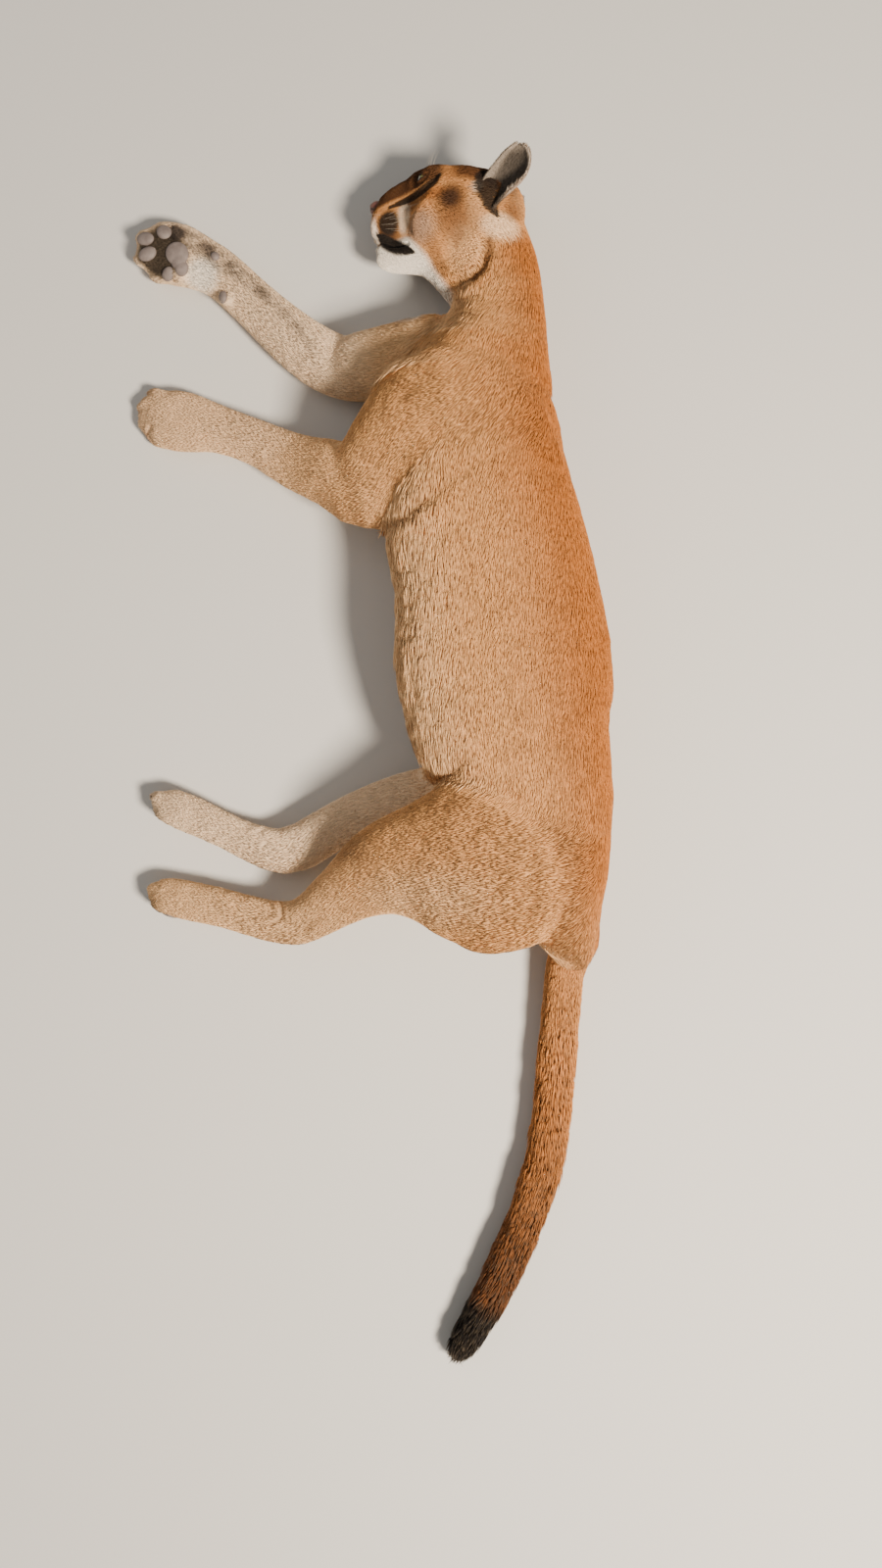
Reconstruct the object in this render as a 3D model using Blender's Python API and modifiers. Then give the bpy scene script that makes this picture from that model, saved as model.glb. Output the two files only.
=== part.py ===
"""A cougar lying on its right side, life size, as a museum model.

The body masses are lofts and rounded lumps with the coat's thickness in them. Neighbouring masses are
fused and smoothed, laid on flats at the floor, and parted into named pieces by thin cuts.
Metres, +Z up. The head points to +Y, the back to +X, the legs to -X, and the left side is up.
"""

import math

import bmesh
import bpy
from mathutils import Matrix, Vector

# Gap kept between touching pieces
GAP = 0.0003

# Grain at which the masses of the head are fused
HEAD_VOXEL = 0.003

# Middle of the whole model's box in the frame of the stations below, which the origin is moved to
MIDDLE = (-0.1047, 0.0161)

# Stations of each mass: x, y, z of its middle, half its size across the side view, half its thickness
TORSO = [
    (0.070, 0.600, 0.090, 0.084, 0.080),
    (0.055, 0.560, 0.098, 0.105, 0.095),
    (0.047, 0.510, 0.103, 0.121, 0.105),
    (0.046, 0.460, 0.106, 0.127, 0.111),
    (0.051, 0.405, 0.108, 0.134, 0.114),
    (0.061, 0.350, 0.109, 0.139, 0.116),
    (0.073, 0.298, 0.110, 0.141, 0.117),
    (0.081, 0.244, 0.110, 0.146, 0.117),
    (0.086, 0.190, 0.109, 0.152, 0.116),
    (0.093, 0.136, 0.108, 0.150, 0.115),
    (0.101, 0.081, 0.107, 0.143, 0.113),
    (0.119, 0.027, 0.105, 0.125, 0.110),
    (0.136, -0.027, 0.103, 0.110, 0.107),
    (0.149, -0.081, 0.100, 0.094, 0.104),
    (0.160, -0.136, 0.095, 0.077, 0.098),
    (0.172, -0.185, 0.083, 0.056, 0.085),
    (0.184, -0.220, 0.062, 0.036, 0.062),
]
NECK = [
    (0.034, 0.806, 0.079, 0.052, 0.054),
    (0.056, 0.773, 0.078, 0.064, 0.062),
    (0.073, 0.735, 0.077, 0.066, 0.067),
    (0.081, 0.679, 0.080, 0.067, 0.072),
    (0.078, 0.625, 0.087, 0.076, 0.081),
    (0.066, 0.575, 0.096, 0.096, 0.093),
]
THROAT = [
    (-0.020, 0.752, 0.064, 0.022, 0.030),
    (0.010, 0.740, 0.067, 0.034, 0.040),
    (0.045, 0.715, 0.072, 0.045, 0.050),
]
SHOULDER_LEFT = [
    (0.110, 0.440, 0.140, 0.060, 0.060),
    (0.075, 0.480, 0.146, 0.082, 0.070),
    (0.005, 0.510, 0.150, 0.090, 0.066),
    (-0.050, 0.468, 0.135, 0.079, 0.058),
    (-0.100, 0.420, 0.106, 0.064, 0.049),
]
FORELEG_LEFT = [
    (-0.050, 0.440, 0.120, 0.070, 0.055),
    (-0.100, 0.417, 0.102, 0.062, 0.050),
    (-0.153, 0.440, 0.082, 0.050, 0.044),
    (-0.210, 0.466, 0.050, 0.042, 0.038),
    (-0.267, 0.497, 0.035, 0.035, 0.033),
    (-0.325, 0.520, 0.024, 0.036, 0.031),
    (-0.356, 0.528, 0.021, 0.042, 0.030),
    (-0.386, 0.534, 0.019, 0.046, 0.028),
    (-0.412, 0.537, 0.017, 0.042, 0.026),
]
SHOULDER_RIGHT = [
    (0.060, 0.560, 0.075, 0.080, 0.060),
    (0.000, 0.600, 0.070, 0.070, 0.056),
    (-0.060, 0.608, 0.060, 0.056, 0.050),
    (-0.120, 0.604, 0.053, 0.046, 0.045),
]
FORELEG_RIGHT = [
    (-0.060, 0.610, 0.046, 0.050, 0.046),
    (-0.112, 0.602, 0.041, 0.047, 0.045),
    (-0.160, 0.612, 0.037, 0.046, 0.043),
    (-0.213, 0.648, 0.031, 0.042, 0.039),
    (-0.270, 0.700, 0.026, 0.037, 0.035),
    (-0.320, 0.746, 0.023, 0.037, 0.033),
    (-0.355, 0.765, 0.023, 0.041, 0.031),
    (-0.385, 0.777, 0.023, 0.046, 0.030),
    (-0.412, 0.785, 0.022, 0.043, 0.027),
]
LEG_LEFT = [
    (0.165, -0.105, 0.120, 0.100, 0.070),
    (0.125, -0.104, 0.138, 0.120, 0.073),
    (0.085, -0.103, 0.149, 0.129, 0.071),
    (0.040, -0.104, 0.153, 0.127, 0.066),
    (0.000, -0.107, 0.150, 0.106, 0.060),
    (-0.034, -0.109, 0.142, 0.085, 0.054),
    (-0.067, -0.115, 0.132, 0.072, 0.049),
    (-0.095, -0.127, 0.120, 0.062, 0.044),
    (-0.125, -0.146, 0.104, 0.050, 0.038),
    (-0.153, -0.166, 0.088, 0.043, 0.033),
    (-0.182, -0.187, 0.072, 0.037, 0.030),
    (-0.209, -0.199, 0.060, 0.035, 0.029),
    (-0.250, -0.197, 0.050, 0.032, 0.028),
    (-0.310, -0.182, 0.040, 0.030, 0.027),
    (-0.354, -0.173, 0.034, 0.030, 0.027),
    (-0.383, -0.167, 0.032, 0.030, 0.026),
    (-0.402, -0.163, 0.031, 0.028, 0.023),
]
LEG_RIGHT = [
    (0.150, -0.090, 0.072, 0.100, 0.062),
    (0.090, -0.060, 0.064, 0.098, 0.054),
    (0.040, -0.035, 0.058, 0.078, 0.048),
    (0.000, -0.028, 0.052, 0.060, 0.045),
    (-0.040, -0.030, 0.049, 0.052, 0.042),
    (-0.090, -0.040, 0.045, 0.045, 0.039),
    (-0.135, -0.053, 0.041, 0.037, 0.036),
    (-0.170, -0.071, 0.038, 0.036, 0.033),
    (-0.202, -0.090, 0.036, 0.037, 0.031),
    (-0.235, -0.097, 0.034, 0.035, 0.030),
    (-0.270, -0.088, 0.033, 0.031, 0.029),
    (-0.305, -0.073, 0.032, 0.028, 0.028),
    (-0.340, -0.056, 0.032, 0.028, 0.027),
    (-0.370, -0.043, 0.031, 0.029, 0.026),
    (-0.392, -0.033, 0.030, 0.028, 0.024),
]
TAIL = [
    (0.180, -0.190, 0.070, 0.050, 0.060),
    (0.190, -0.225, 0.052, 0.040, 0.048),
    (0.184, -0.258, 0.038, 0.036, 0.041),
    (0.179, -0.286, 0.034, 0.0345, 0.037),
    (0.172, -0.372, 0.030, 0.032, 0.033),
    (0.167, -0.429, 0.029, 0.031, 0.032),
    (0.162, -0.486, 0.029, 0.031, 0.032),
    (0.153, -0.543, 0.029, 0.031, 0.032),
    (0.143, -0.579, 0.029, 0.031, 0.032),
    (0.127, -0.629, 0.029, 0.030, 0.031),
    (0.103, -0.686, 0.028, 0.030, 0.031),
    (0.076, -0.743, 0.027, 0.029, 0.030),
    (0.046, -0.7975, 0.025, 0.026, 0.027),
    (0.030, -0.825, 0.022, 0.020, 0.023),
]

# Toes: middle of each, the way it points, and half its length, breadth and height
TOE_FORE = (0.024, 0.0155, 0.019)
TOE_HIND = (0.022, 0.0145, 0.016)
TOES = {
    "forepaw_left": (TOE_FORE, [
        ((-0.409, 0.512, 0.016), (-0.93, -0.35, -0.08)),
        ((-0.424, 0.531, 0.019), (-0.99, -0.08, -0.10)),
        ((-0.426, 0.551, 0.019), (-0.98, 0.17, -0.10)),
        ((-0.413, 0.567, 0.016), (-0.90, 0.42, -0.08)),
    ]),
    "forepaw_right": (TOE_FORE, [
        ((-0.402, 0.806, 0.022), (-0.80, 0.58, -0.05)),
        ((-0.427, 0.796, 0.025), (-0.96, 0.25, -0.08)),
        ((-0.429, 0.772, 0.025), (-0.98, -0.15, -0.08)),
        ((-0.406, 0.751, 0.022), (-0.88, -0.47, -0.05)),
    ]),
    "hindfoot_left": (TOE_HIND, [
        ((-0.404, -0.171, 0.039), (-0.97, -0.05, 0.12)),
        ((-0.411, -0.156, 0.032), (-0.97, 0.22, 0.05)),
        ((-0.411, -0.158, 0.017), (-0.97, 0.20, -0.05)),
        ((-0.403, -0.172, 0.010), (-0.97, -0.05, -0.08)),
    ]),
    "hindfoot_right": (TOE_HIND, [
        ((-0.399, -0.041, 0.038), (-0.95, 0.12, 0.12)),
        ((-0.407, -0.024, 0.032), (-0.90, 0.42, 0.05)),
        ((-0.407, -0.026, 0.017), (-0.90, 0.40, -0.05)),
        ((-0.398, -0.043, 0.010), (-0.95, 0.12, -0.08)),
    ]),
}

# Bare pads of the forefoot whose sole shows: middle, radii and the way the first radius points
PADS = {
    "forepaw_right": [
        ((-0.372, 0.752, 0.045), (0.014, 0.011, 0.011), (0.90, -0.40, 0.0)),
        ((-0.386, 0.763, 0.044), (0.012, 0.010, 0.010), (0.50, 0.86, 0.0)),
        ((-0.382, 0.738, 0.043), (0.012, 0.010, 0.010), (0.90, -0.40, 0.0)),
        ((-0.402, 0.795, 0.040), (0.012, 0.008, 0.006), (-0.80, 0.58, 0.0)),
        ((-0.428, 0.785, 0.043), (0.012, 0.008, 0.006), (-0.96, 0.25, 0.0)),
        ((-0.427, 0.762, 0.043), (0.012, 0.008, 0.006), (-0.98, -0.15, 0.0)),
        ((-0.401, 0.738, 0.040), (0.012, 0.008, 0.006), (-0.88, -0.47, 0.0)),
        ((-0.314, 0.698, 0.050), (0.009, 0.007, 0.008), (0.60, -0.80, 0.0)),
    ],
}

# The head's own frame: x forward to the nose, y to its left, z to the crown
HEAD_AT = Vector((0.0, 0.803, 0.069))
SNOUT_DROP = math.radians(8.0)
HEAD_AXES = Matrix((
    (-math.cos(SNOUT_DROP), -math.sin(SNOUT_DROP), 0.0),
    (0.0, 0.0, 1.0),
    (-math.sin(SNOUT_DROP), math.cos(SNOUT_DROP), 0.0),
))

# Sections of the skull and of the lower jaw: x, half-breadth, top, bottom, height of the broadest point
SKULL = [
    (0.088, 0.025, 0.0385, -0.016, 0.008),
    (0.079, 0.031, 0.0435, -0.024, 0.006),
    (0.067, 0.0350, 0.0505, -0.030, 0.003),
    (0.053, 0.0365, 0.0600, -0.034, 0.000),
    (0.038, 0.0390, 0.0690, -0.038, -0.001),
    (0.024, 0.0445, 0.0735, -0.042, 0.001),
    (0.010, 0.0530, 0.0745, -0.045, 0.004),
    (-0.008, 0.061, 0.0725, -0.047, 0.006),
    (-0.028, 0.067, 0.072, -0.049, 0.006),
    (-0.048, 0.068, 0.069, -0.049, 0.006),
    (-0.068, 0.064, 0.064, -0.047, 0.006),
    (-0.086, 0.055, 0.056, -0.043, 0.005),
    (-0.099, 0.044, 0.045, -0.036, 0.004),
]
JAW = [
    (0.089, 0.0155, -0.034, -0.056, -0.045),
    (0.078, 0.0225, -0.034, -0.065, -0.050),
    (0.052, 0.031, -0.030, -0.068, -0.050),
    (0.022, 0.041, -0.020, -0.070, -0.046),
    (-0.008, 0.052, -0.008, -0.070, -0.040),
    (-0.036, 0.057, 0.000, -0.066, -0.034),
    (-0.060, 0.053, 0.002, -0.056, -0.028),
]
# Rounded lumps of one side of the head: middle, radii and the way the first radius points
HEAD_LUMPS = {
    "whisker_pad": ((0.073, 0.0165, -0.008), (0.030, 0.0200, 0.0225), (0.98, 0.0, -0.20)),
    "cheek": ((-0.024, 0.041, -0.016), (0.062, 0.030, 0.044), (0.95, 0.16, -0.20)),
    "cheek_front": ((0.020, 0.0255, -0.016), (0.044, 0.0200, 0.034), (0.95, -0.22, -0.10)),
    "jaw_side": ((0.000, 0.0340, -0.044), (0.056, 0.0200, 0.023), (0.97, -0.22, -0.05)),
    "brow": ((0.000, 0.030, 0.053), (0.030, 0.018, 0.012), (0.93, -0.10, 0.10)),
    "bridge": ((0.056, 0.009, 0.042), (0.040, 0.015, 0.013), (0.90, 0.0, -0.42)),
    "ear_root": ((-0.090, 0.033, 0.018), (0.022, 0.020, 0.024), (1.0, 0.0, 0.0)),
}
# Hollow under and before each eye
HEAD_DENT = ((0.045, 0.051, 0.025), (0.030, 0.0155, 0.018), (0.92, -0.36, 0.10))
LIDS = ((0.0155, 0.0275, 0.0445), (0.0170, 0.0175, 0.0165), (0.80, 0.58, 0.10))

EYE_AT = (0.0155, 0.0275, 0.0445)
EYE_RADIUS = 0.0135
EYE_WAY = (0.80, 0.58, 0.10)
FISSURE = (0.009, 0.0140, 0.0048)
NOSE_AT = (0.0905, 0.0, 0.0265)
NOSE_SIZE = (0.0125, 0.0180, 0.0120)
NOSTRIL_AT = (0.1010, 0.0090, 0.0245)
NOSTRIL_SIZE = (0.006, 0.0036, 0.0042)
# Side outline of the gap between the lips, from the front to the corner and back
MOUTH_GAP = [
    (0.115, -0.020), (0.096, -0.0235), (0.084, -0.028), (0.072, -0.0355), (0.056, -0.0405),
    (0.041, -0.0425), (0.055, -0.0450), (0.072, -0.0420), (0.085, -0.0335), (0.097, -0.0295),
    (0.115, -0.029),
]
# Sections of the flesh behind the lips, which the gap doesn't cut
MOUTH_CORE = [
    (0.078, 0.016, 0.000, -0.055, -0.03),
    (0.060, 0.025, 0.000, -0.060, -0.03),
    (0.035, 0.031, 0.000, -0.060, -0.03),
    (0.010, 0.040, 0.000, -0.060, -0.03),
]

# Each ear's side, and its shift forward, its reach sideways and its breadth as shares of the left one's
EARS = {"ear_left": (1, 0.0, 1.0, 1.0), "ear_right": (-1, 0.012, 0.85, 0.80)}
EAR_WALL = 0.0045
# The left ear from its foot to its tip: its front edge, its rear edge, and how deep the cup is between them
EAR_ROWS = [
    (-0.0717, 0.055, -0.0136, -0.0785, 0.056, -0.0132, 0.004),
    (-0.0617, 0.057, -0.0004, -0.0913, 0.063, -0.0041, 0.009),
    (-0.0605, 0.058, 0.0126, -0.1038, 0.069, 0.0028, 0.013),
    (-0.0652, 0.058, 0.0258, -0.1148, 0.073, 0.0106, 0.016),
    (-0.0735, 0.060, 0.0362, -0.1236, 0.075, 0.0209, 0.018),
    (-0.0828, 0.065, 0.0437, -0.1289, 0.076, 0.0319, 0.017),
    (-0.0926, 0.070, 0.0524, -0.1303, 0.077, 0.0432, 0.013),
    (-0.1029, 0.074, 0.0594, -0.1277, 0.077, 0.0540, 0.008),
    (-0.1137, 0.076, 0.0635, -0.1224, 0.077, 0.0610, 0.003),
]
EAR_COLUMNS = 10

# Cuts between pieces: a point on the cut and the way out of the piece named first
CUTS = {
    "head_neck": ((0.057, 0.780, 0.08), (0.774, -0.633, 0.0)),
    "neck_torso": ((0.084, 0.647, 0.09), (-0.368, -0.930, 0.0)),
    "torso_forelegs": ((-0.095, 0.500, 0.08), (-1.0, 0.0, 0.0)),
    "foreleg_forepaw_left": ((-0.322, 0.519, 0.04), (-0.96, 0.28, 0.0)),
    "foreleg_forepaw_right": ((-0.318, 0.744, 0.04), (-0.80, 0.60, 0.0)),
    "thigh_shank_left": ((-0.060, -0.113, 0.13), (-0.96, -0.28, 0.0)),
    "shank_hindfoot_left": ((-0.222, -0.199, 0.05), (-0.99, -0.12, 0.0)),
    "thigh_shank_right": ((-0.060, -0.034, 0.05), (-0.99, -0.14, 0.0)),
    "shank_hindfoot_right": ((-0.232, -0.097, 0.03), (-1.0, 0.0, 0.0)),
    "torso_tail": ((0.183, -0.225, 0.06), (0.233, -0.972, 0.0)),
    "tail_base_middle": ((0.167, -0.429, 0.03), (-0.09, -0.996, 0.0)),
    "tail_middle_tip": ((0.127, -0.629, 0.03), (-0.36, -0.933, 0.0)),
    "thigh_left_right": ((0.0, 0.0, 0.098), (0.0, 0.0, -1.0)),
}
# Outline of the thighs' share of the hindquarters, seen from above
THIGH_OUTLINE = [
    (0.047, 0.045), (0.000, 0.010), (-0.030, 0.040), (-0.500, 0.060), (-0.500, -0.300), (0.130, -0.300),
    (0.141, -0.262), (0.151, -0.236),
]

# Colour, in linear values, and roughness of each piece, by the start of its name
FINISHES = {
    "nose": ((0.080, 0.030, 0.024), 0.42),
    "eye": ((0.030, 0.024, 0.008), 0.12),
    "ear": ((0.105, 0.064, 0.040), 0.85),
    "tail_tip": ((0.022, 0.013, 0.008), 0.88),
    "tail": ((0.150, 0.066, 0.032), 0.88),
    "forepaw": ((0.500, 0.340, 0.210), 0.88),
    "torso": ((0.350, 0.160, 0.070), 0.88),
    "neck": ((0.340, 0.150, 0.064), 0.88),
    "": ((0.420, 0.235, 0.125), 0.88),
}


def catmull(before, start, end, after, share):
    """A point on the smooth curve from start to end, share of the way along."""
    square, cube = share * share, share ** 3
    return tuple(
        b + 0.5 * ((c - a) * share + (2 * a - 5 * b + 4 * c - d) * square + (3 * (b - c) - a + d) * cube)
        for a, b, c, d in zip(before, start, end, after)
    )


def smooth_rows(stations, steps):
    """Stations with steps - 1 more between each pair, on a smooth curve."""
    rows = []
    for i in range(len(stations) - 1):
        before = stations[max(i - 1, 0)]
        after = stations[min(i + 2, len(stations) - 1)]
        for step in range(steps):
            rows.append(catmull(before, stations[i], stations[i + 1], after, step / steps))
    rows.append(tuple(stations[-1]))
    return rows


def loft(stations, sides=28, steps=3, cap_rings=4, blunt=1.0):
    """A closed mesh through oval sections, with rounded ends.

    A sixth number in a station is its reach downwards, where that isn't its reach upwards.
    """
    rows = smooth_rows(stations, steps)
    middles = [Vector(row[:3]) for row in rows]
    rings = []
    for i, row in enumerate(rows):
        way = (middles[min(i + 1, len(rows) - 1)] - middles[max(i - 1, 0)]).normalized()
        up = (Vector((0, 0, 1)) - way * way.z).normalized()
        rings.append((middles[i], up.cross(way), up, row[3], row[4], row[-1], way))
    first, last = rings[0], rings[-1]
    bend = [math.pi / 2 * k / (cap_rings + 1) for k in range(1, cap_rings + 1)]
    head = [cap_ring(first, angle, -blunt) for angle in reversed(bend)]
    tail = [cap_ring(last, angle, blunt) for angle in bend]
    mesh = bmesh.new()
    loops = []
    turns = [2 * math.pi * k / sides for k in range(sides)]
    for middle, side, up, across, rise, fall, _ in head + rings + tail:
        reach = [rise if turn < math.pi else fall for turn in turns]
        loops.append([
            mesh.verts.new(middle + side * across * math.cos(turn) + up * high * math.sin(turn))
            for turn, high in zip(turns, reach)
        ])
    for low, high in zip(loops, loops[1:]):
        for k in range(sides):
            mesh.faces.new((low[k], low[(k + 1) % sides], high[(k + 1) % sides], high[k]))
    for loop, ring, sign in ((loops[0], first, -1), (loops[-1], last, 1)):
        pole = mesh.verts.new(ring[0] + ring[-1] * sign * blunt * min(ring[3:6]))
        for k in range(sides):
            mesh.faces.new((loop[k], loop[(k + 1) % sides], pole))
    bmesh.ops.recalc_face_normals(mesh, faces=mesh.faces)
    return mesh


def cap_ring(ring, angle, sign):
    """One ring of a rounded end, at an angle from the last full section."""
    middle, side, up, across, rise, fall, way = ring
    reach = min(across, rise, fall) * math.sin(angle) * sign
    shrink = math.cos(angle)
    return (middle + way * reach, side, up, across * shrink, rise * shrink, fall * shrink, way)


def lump(middle, radii, way=(1, 0, 0), rows=10):
    """A rounded lump whose first radius lies along way."""
    turn = Vector((1, 0, 0)).rotation_difference(Vector(way)).to_matrix().to_4x4()
    mesh = bmesh.new()
    bmesh.ops.create_uvsphere(mesh, u_segments=2 * rows - 4, v_segments=rows, radius=1.0)
    mesh.transform(Matrix.Translation(Vector(middle)) @ turn @ Matrix.Diagonal((*radii, 1.0)))
    return mesh


def to_head(mesh):
    """Takes a mesh from the head's own frame to its place on the neck."""
    mesh.transform(Matrix.Translation(HEAD_AT) @ HEAD_AXES.to_4x4())
    return mesh


def head_loft(sections):
    """A loft along the head from half-breadth, top, bottom and broadest height at each section."""
    rows = [(x, 0.0, level, breadth, top - level, level - low) for x, breadth, top, low, level in sections]
    return to_head(loft(rows, blunt=0.55))


def both_sides(middle, radii, way):
    """The same lump on the left and the right of the head."""
    return [
        to_head(lump((middle[0], side * middle[1], middle[2]), radii, (way[0], side * way[1], way[2]), 14))
        for side in (1, -1)
    ]


def head_forms():
    """The masses of the head, with the hollows by the eyes taken out and the lids set in."""
    forms = [head_loft(SKULL), head_loft(JAW)]
    for form in HEAD_LUMPS.values():
        forms += both_sides(*form)
    head = fused(forms, HEAD_VOXEL, 9, None)
    for dent in both_sides(*HEAD_DENT):
        head = boolean(head, dent, "DIFFERENCE")
    return [head] + both_sides(*LIDS)


def paw_forms(name):
    """The toes of one foot, and its pads where they show."""
    size, toes = TOES[name]
    forms = [lump(middle, size, way) for middle, way in toes]
    return forms + [lump(*pad) for pad in PADS.get(name, [])]


def new_object(name, mesh, collection):
    data = bpy.data.meshes.new(name)
    mesh.to_mesh(data)
    mesh.free()
    piece = bpy.data.objects.new(name, data)
    collection.objects.link(piece)
    return piece


def joined(meshes):
    """One bmesh that holds copies of several."""
    whole = bmesh.new()
    for mesh in meshes:
        data = bpy.data.meshes.new("form")
        mesh.to_mesh(data)
        whole.from_mesh(data)
        bpy.data.meshes.remove(data)
    return whole


def evaluated(piece):
    """The piece's mesh as its modifiers leave it."""
    view = piece.evaluated_get(bpy.context.evaluated_depsgraph_get())
    mesh = bmesh.new()
    data = bpy.data.meshes.new_from_object(view)
    mesh.from_mesh(data)
    bpy.data.meshes.remove(data)
    return mesh


def fused(forms, voxel, rounds, faces):
    """Overlapping masses as one smooth skin of about so many triangles."""
    piece = new_object("fusing", joined(forms), bpy.context.scene.collection)
    remesh = piece.modifiers.new("fuse", "REMESH")
    remesh.mode = "VOXEL"
    remesh.voxel_size = voxel
    smooth = piece.modifiers.new("smooth", "SMOOTH")
    smooth.factor = 0.5
    smooth.iterations = rounds
    fine = evaluated(piece)
    triangles = 2 * len(fine.faces)
    fine.free()
    if faces:
        thin = piece.modifiers.new("thin", "DECIMATE")
        thin.ratio = min(1.0, faces / triangles)
    mesh = evaluated(piece)
    bpy.data.objects.remove(piece)
    return mesh


def trimmed(mesh, point, way):
    """Takes off what lies beyond a plane, and closes the cut."""
    geometry = mesh.verts[:] + mesh.edges[:] + mesh.faces[:]
    bmesh.ops.bisect_plane(mesh, geom=geometry, dist=1e-6, plane_co=point, plane_no=way, clear_outer=True)
    edges = [edge for edge in mesh.edges if edge.is_boundary]
    if edges:
        bmesh.ops.holes_fill(mesh, edges=edges, sides=0)
    bmesh.ops.triangulate(mesh, faces=[face for face in mesh.faces if len(face.verts) > 3])
    return mesh


def cut(mesh, name, first):
    """Trims a mesh at a named cut: the piece on its first side, or the one beyond it."""
    point, way = CUTS[name]
    way = Vector(way).normalized()
    if not first:
        way = -way
    return trimmed(mesh, Vector(point) - way * GAP / 2, way)


def largest(mesh):
    """Keeps only the largest closed surface."""
    left = set(mesh.verts)
    best = []
    while left:
        group = [left.pop()]
        for vert in group:
            for edge in vert.link_edges:
                other = edge.other_vert(vert)
                if other in left:
                    left.remove(other)
                    group.append(other)
        if len(group) > len(best):
            best = group
    keep = set(best)
    bmesh.ops.delete(mesh, geom=[vert for vert in mesh.verts if vert not in keep], context="VERTS")
    return mesh


def offset_outline(points, distance):
    """An outline moved outwards by a distance, for points that run anticlockwise."""
    moved = []
    count = len(points)
    for i in range(count):
        corner = Vector(points[i])
        back = (corner - Vector(points[i - 1])).normalized()
        ahead = (Vector(points[(i + 1) % count]) - corner).normalized()
        normal = Vector((back.y + ahead.y, -back.x - ahead.x)).normalized()
        stretch = normal.dot(Vector((ahead.y, -ahead.x)))
        moved.append(corner + normal * distance / stretch)
    return moved


def prism(outline, low, high):
    """An upright block with the given outline."""
    mesh = bmesh.new()
    base = mesh.faces.new([mesh.verts.new((x, y, low)) for x, y in outline])
    walls = bmesh.ops.extrude_face_region(mesh, geom=[base])
    tops = [item for item in walls["geom"] if isinstance(item, bmesh.types.BMVert)]
    bmesh.ops.translate(mesh, verts=tops, vec=(0, 0, high - low))
    bmesh.ops.recalc_face_normals(mesh, faces=mesh.faces)
    return mesh


def boolean(mesh, cutter, operation, solver="EXACT"):
    """One mesh cut by, joined to or kept inside another."""
    scene = bpy.context.scene.collection
    piece = new_object("piece", mesh, scene)
    tool = new_object("tool", cutter, scene)
    modifier = piece.modifiers.new("boolean", "BOOLEAN")
    modifier.operation = operation
    modifier.solver = solver
    modifier.object = tool
    result = evaluated(piece)
    bpy.data.objects.remove(piece)
    bpy.data.objects.remove(tool)
    bmesh.ops.triangulate(result, faces=result.faces)
    return result


def copy_of(mesh):
    return joined([mesh])


def on_floor(mesh):
    return trimmed(mesh, Vector((0, 0, 0)), Vector((0, 0, -1)))


def make_torso():
    legs = (SHOULDER_LEFT, SHOULDER_RIGHT, FORELEG_LEFT, FORELEG_RIGHT, LEG_LEFT, LEG_RIGHT)
    forms = [loft(part) for part in (TORSO, NECK, THROAT, *legs, TAIL)]
    mesh = fused(forms, 0.006, 6, 3800)
    mesh = cut(mesh, "neck_torso", False)
    mesh = cut(mesh, "torso_forelegs", True)
    mesh = cut(mesh, "torso_tail", True)
    mesh = boolean(mesh, prism(offset_outline(THIGH_OUTLINE, GAP), -0.1, 0.4), "DIFFERENCE")
    return largest(on_floor(mesh))


def make_neck():
    forms = [loft(part) for part in (NECK, THROAT, TORSO, SHOULDER_LEFT, SHOULDER_RIGHT)]
    mesh = fused(forms + head_forms(), 0.005, 6, 4400)
    mesh = cut(mesh, "head_neck", False)
    mesh = cut(mesh, "neck_torso", True)
    return largest(on_floor(mesh))


def swollen(mesh, by):
    """The mesh with its surface moved outwards."""
    mesh.normal_update()
    for vert, normal in [(vert, vert.normal.copy()) for vert in mesh.verts]:
        vert.co += normal * by
    return mesh


def eye_ball(side, grow=0.0):
    x, y, z = EYE_AT
    return to_head(lump((x, side * y, z), [EYE_RADIUS + grow] * 3, rows=9))


def fissure(side):
    """The opening between the lids, over the front of the eye."""
    x, y, z = EYE_AT
    way = Vector((EYE_WAY[0], side * EYE_WAY[1], EYE_WAY[2])).normalized()
    return to_head(lump(Vector((x, side * y, z)) + way * EYE_RADIUS, FISSURE, way))


def nose_pad(grow=0.0):
    return lump(NOSE_AT, [size + grow for size in NOSE_SIZE], rows=9)


def make_nose():
    pad = nose_pad()
    for side in (1, -1):
        x, y, z = NOSTRIL_AT
        nostril = lump((x, side * y, z), NOSTRIL_SIZE, (0.8, side * 0.6, 0.0), 6)
        pad = boolean(pad, nostril, "DIFFERENCE")
    return to_head(pad)


def mouth_gap():
    """The gap between the lips, as deep as the lips are thick."""
    gap = prism(MOUTH_GAP, -0.06, 0.06)
    gap.transform(Matrix.Rotation(math.radians(90), 4, "X"))
    return boolean(to_head(gap), head_loft(MOUTH_CORE), "DIFFERENCE")


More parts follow.
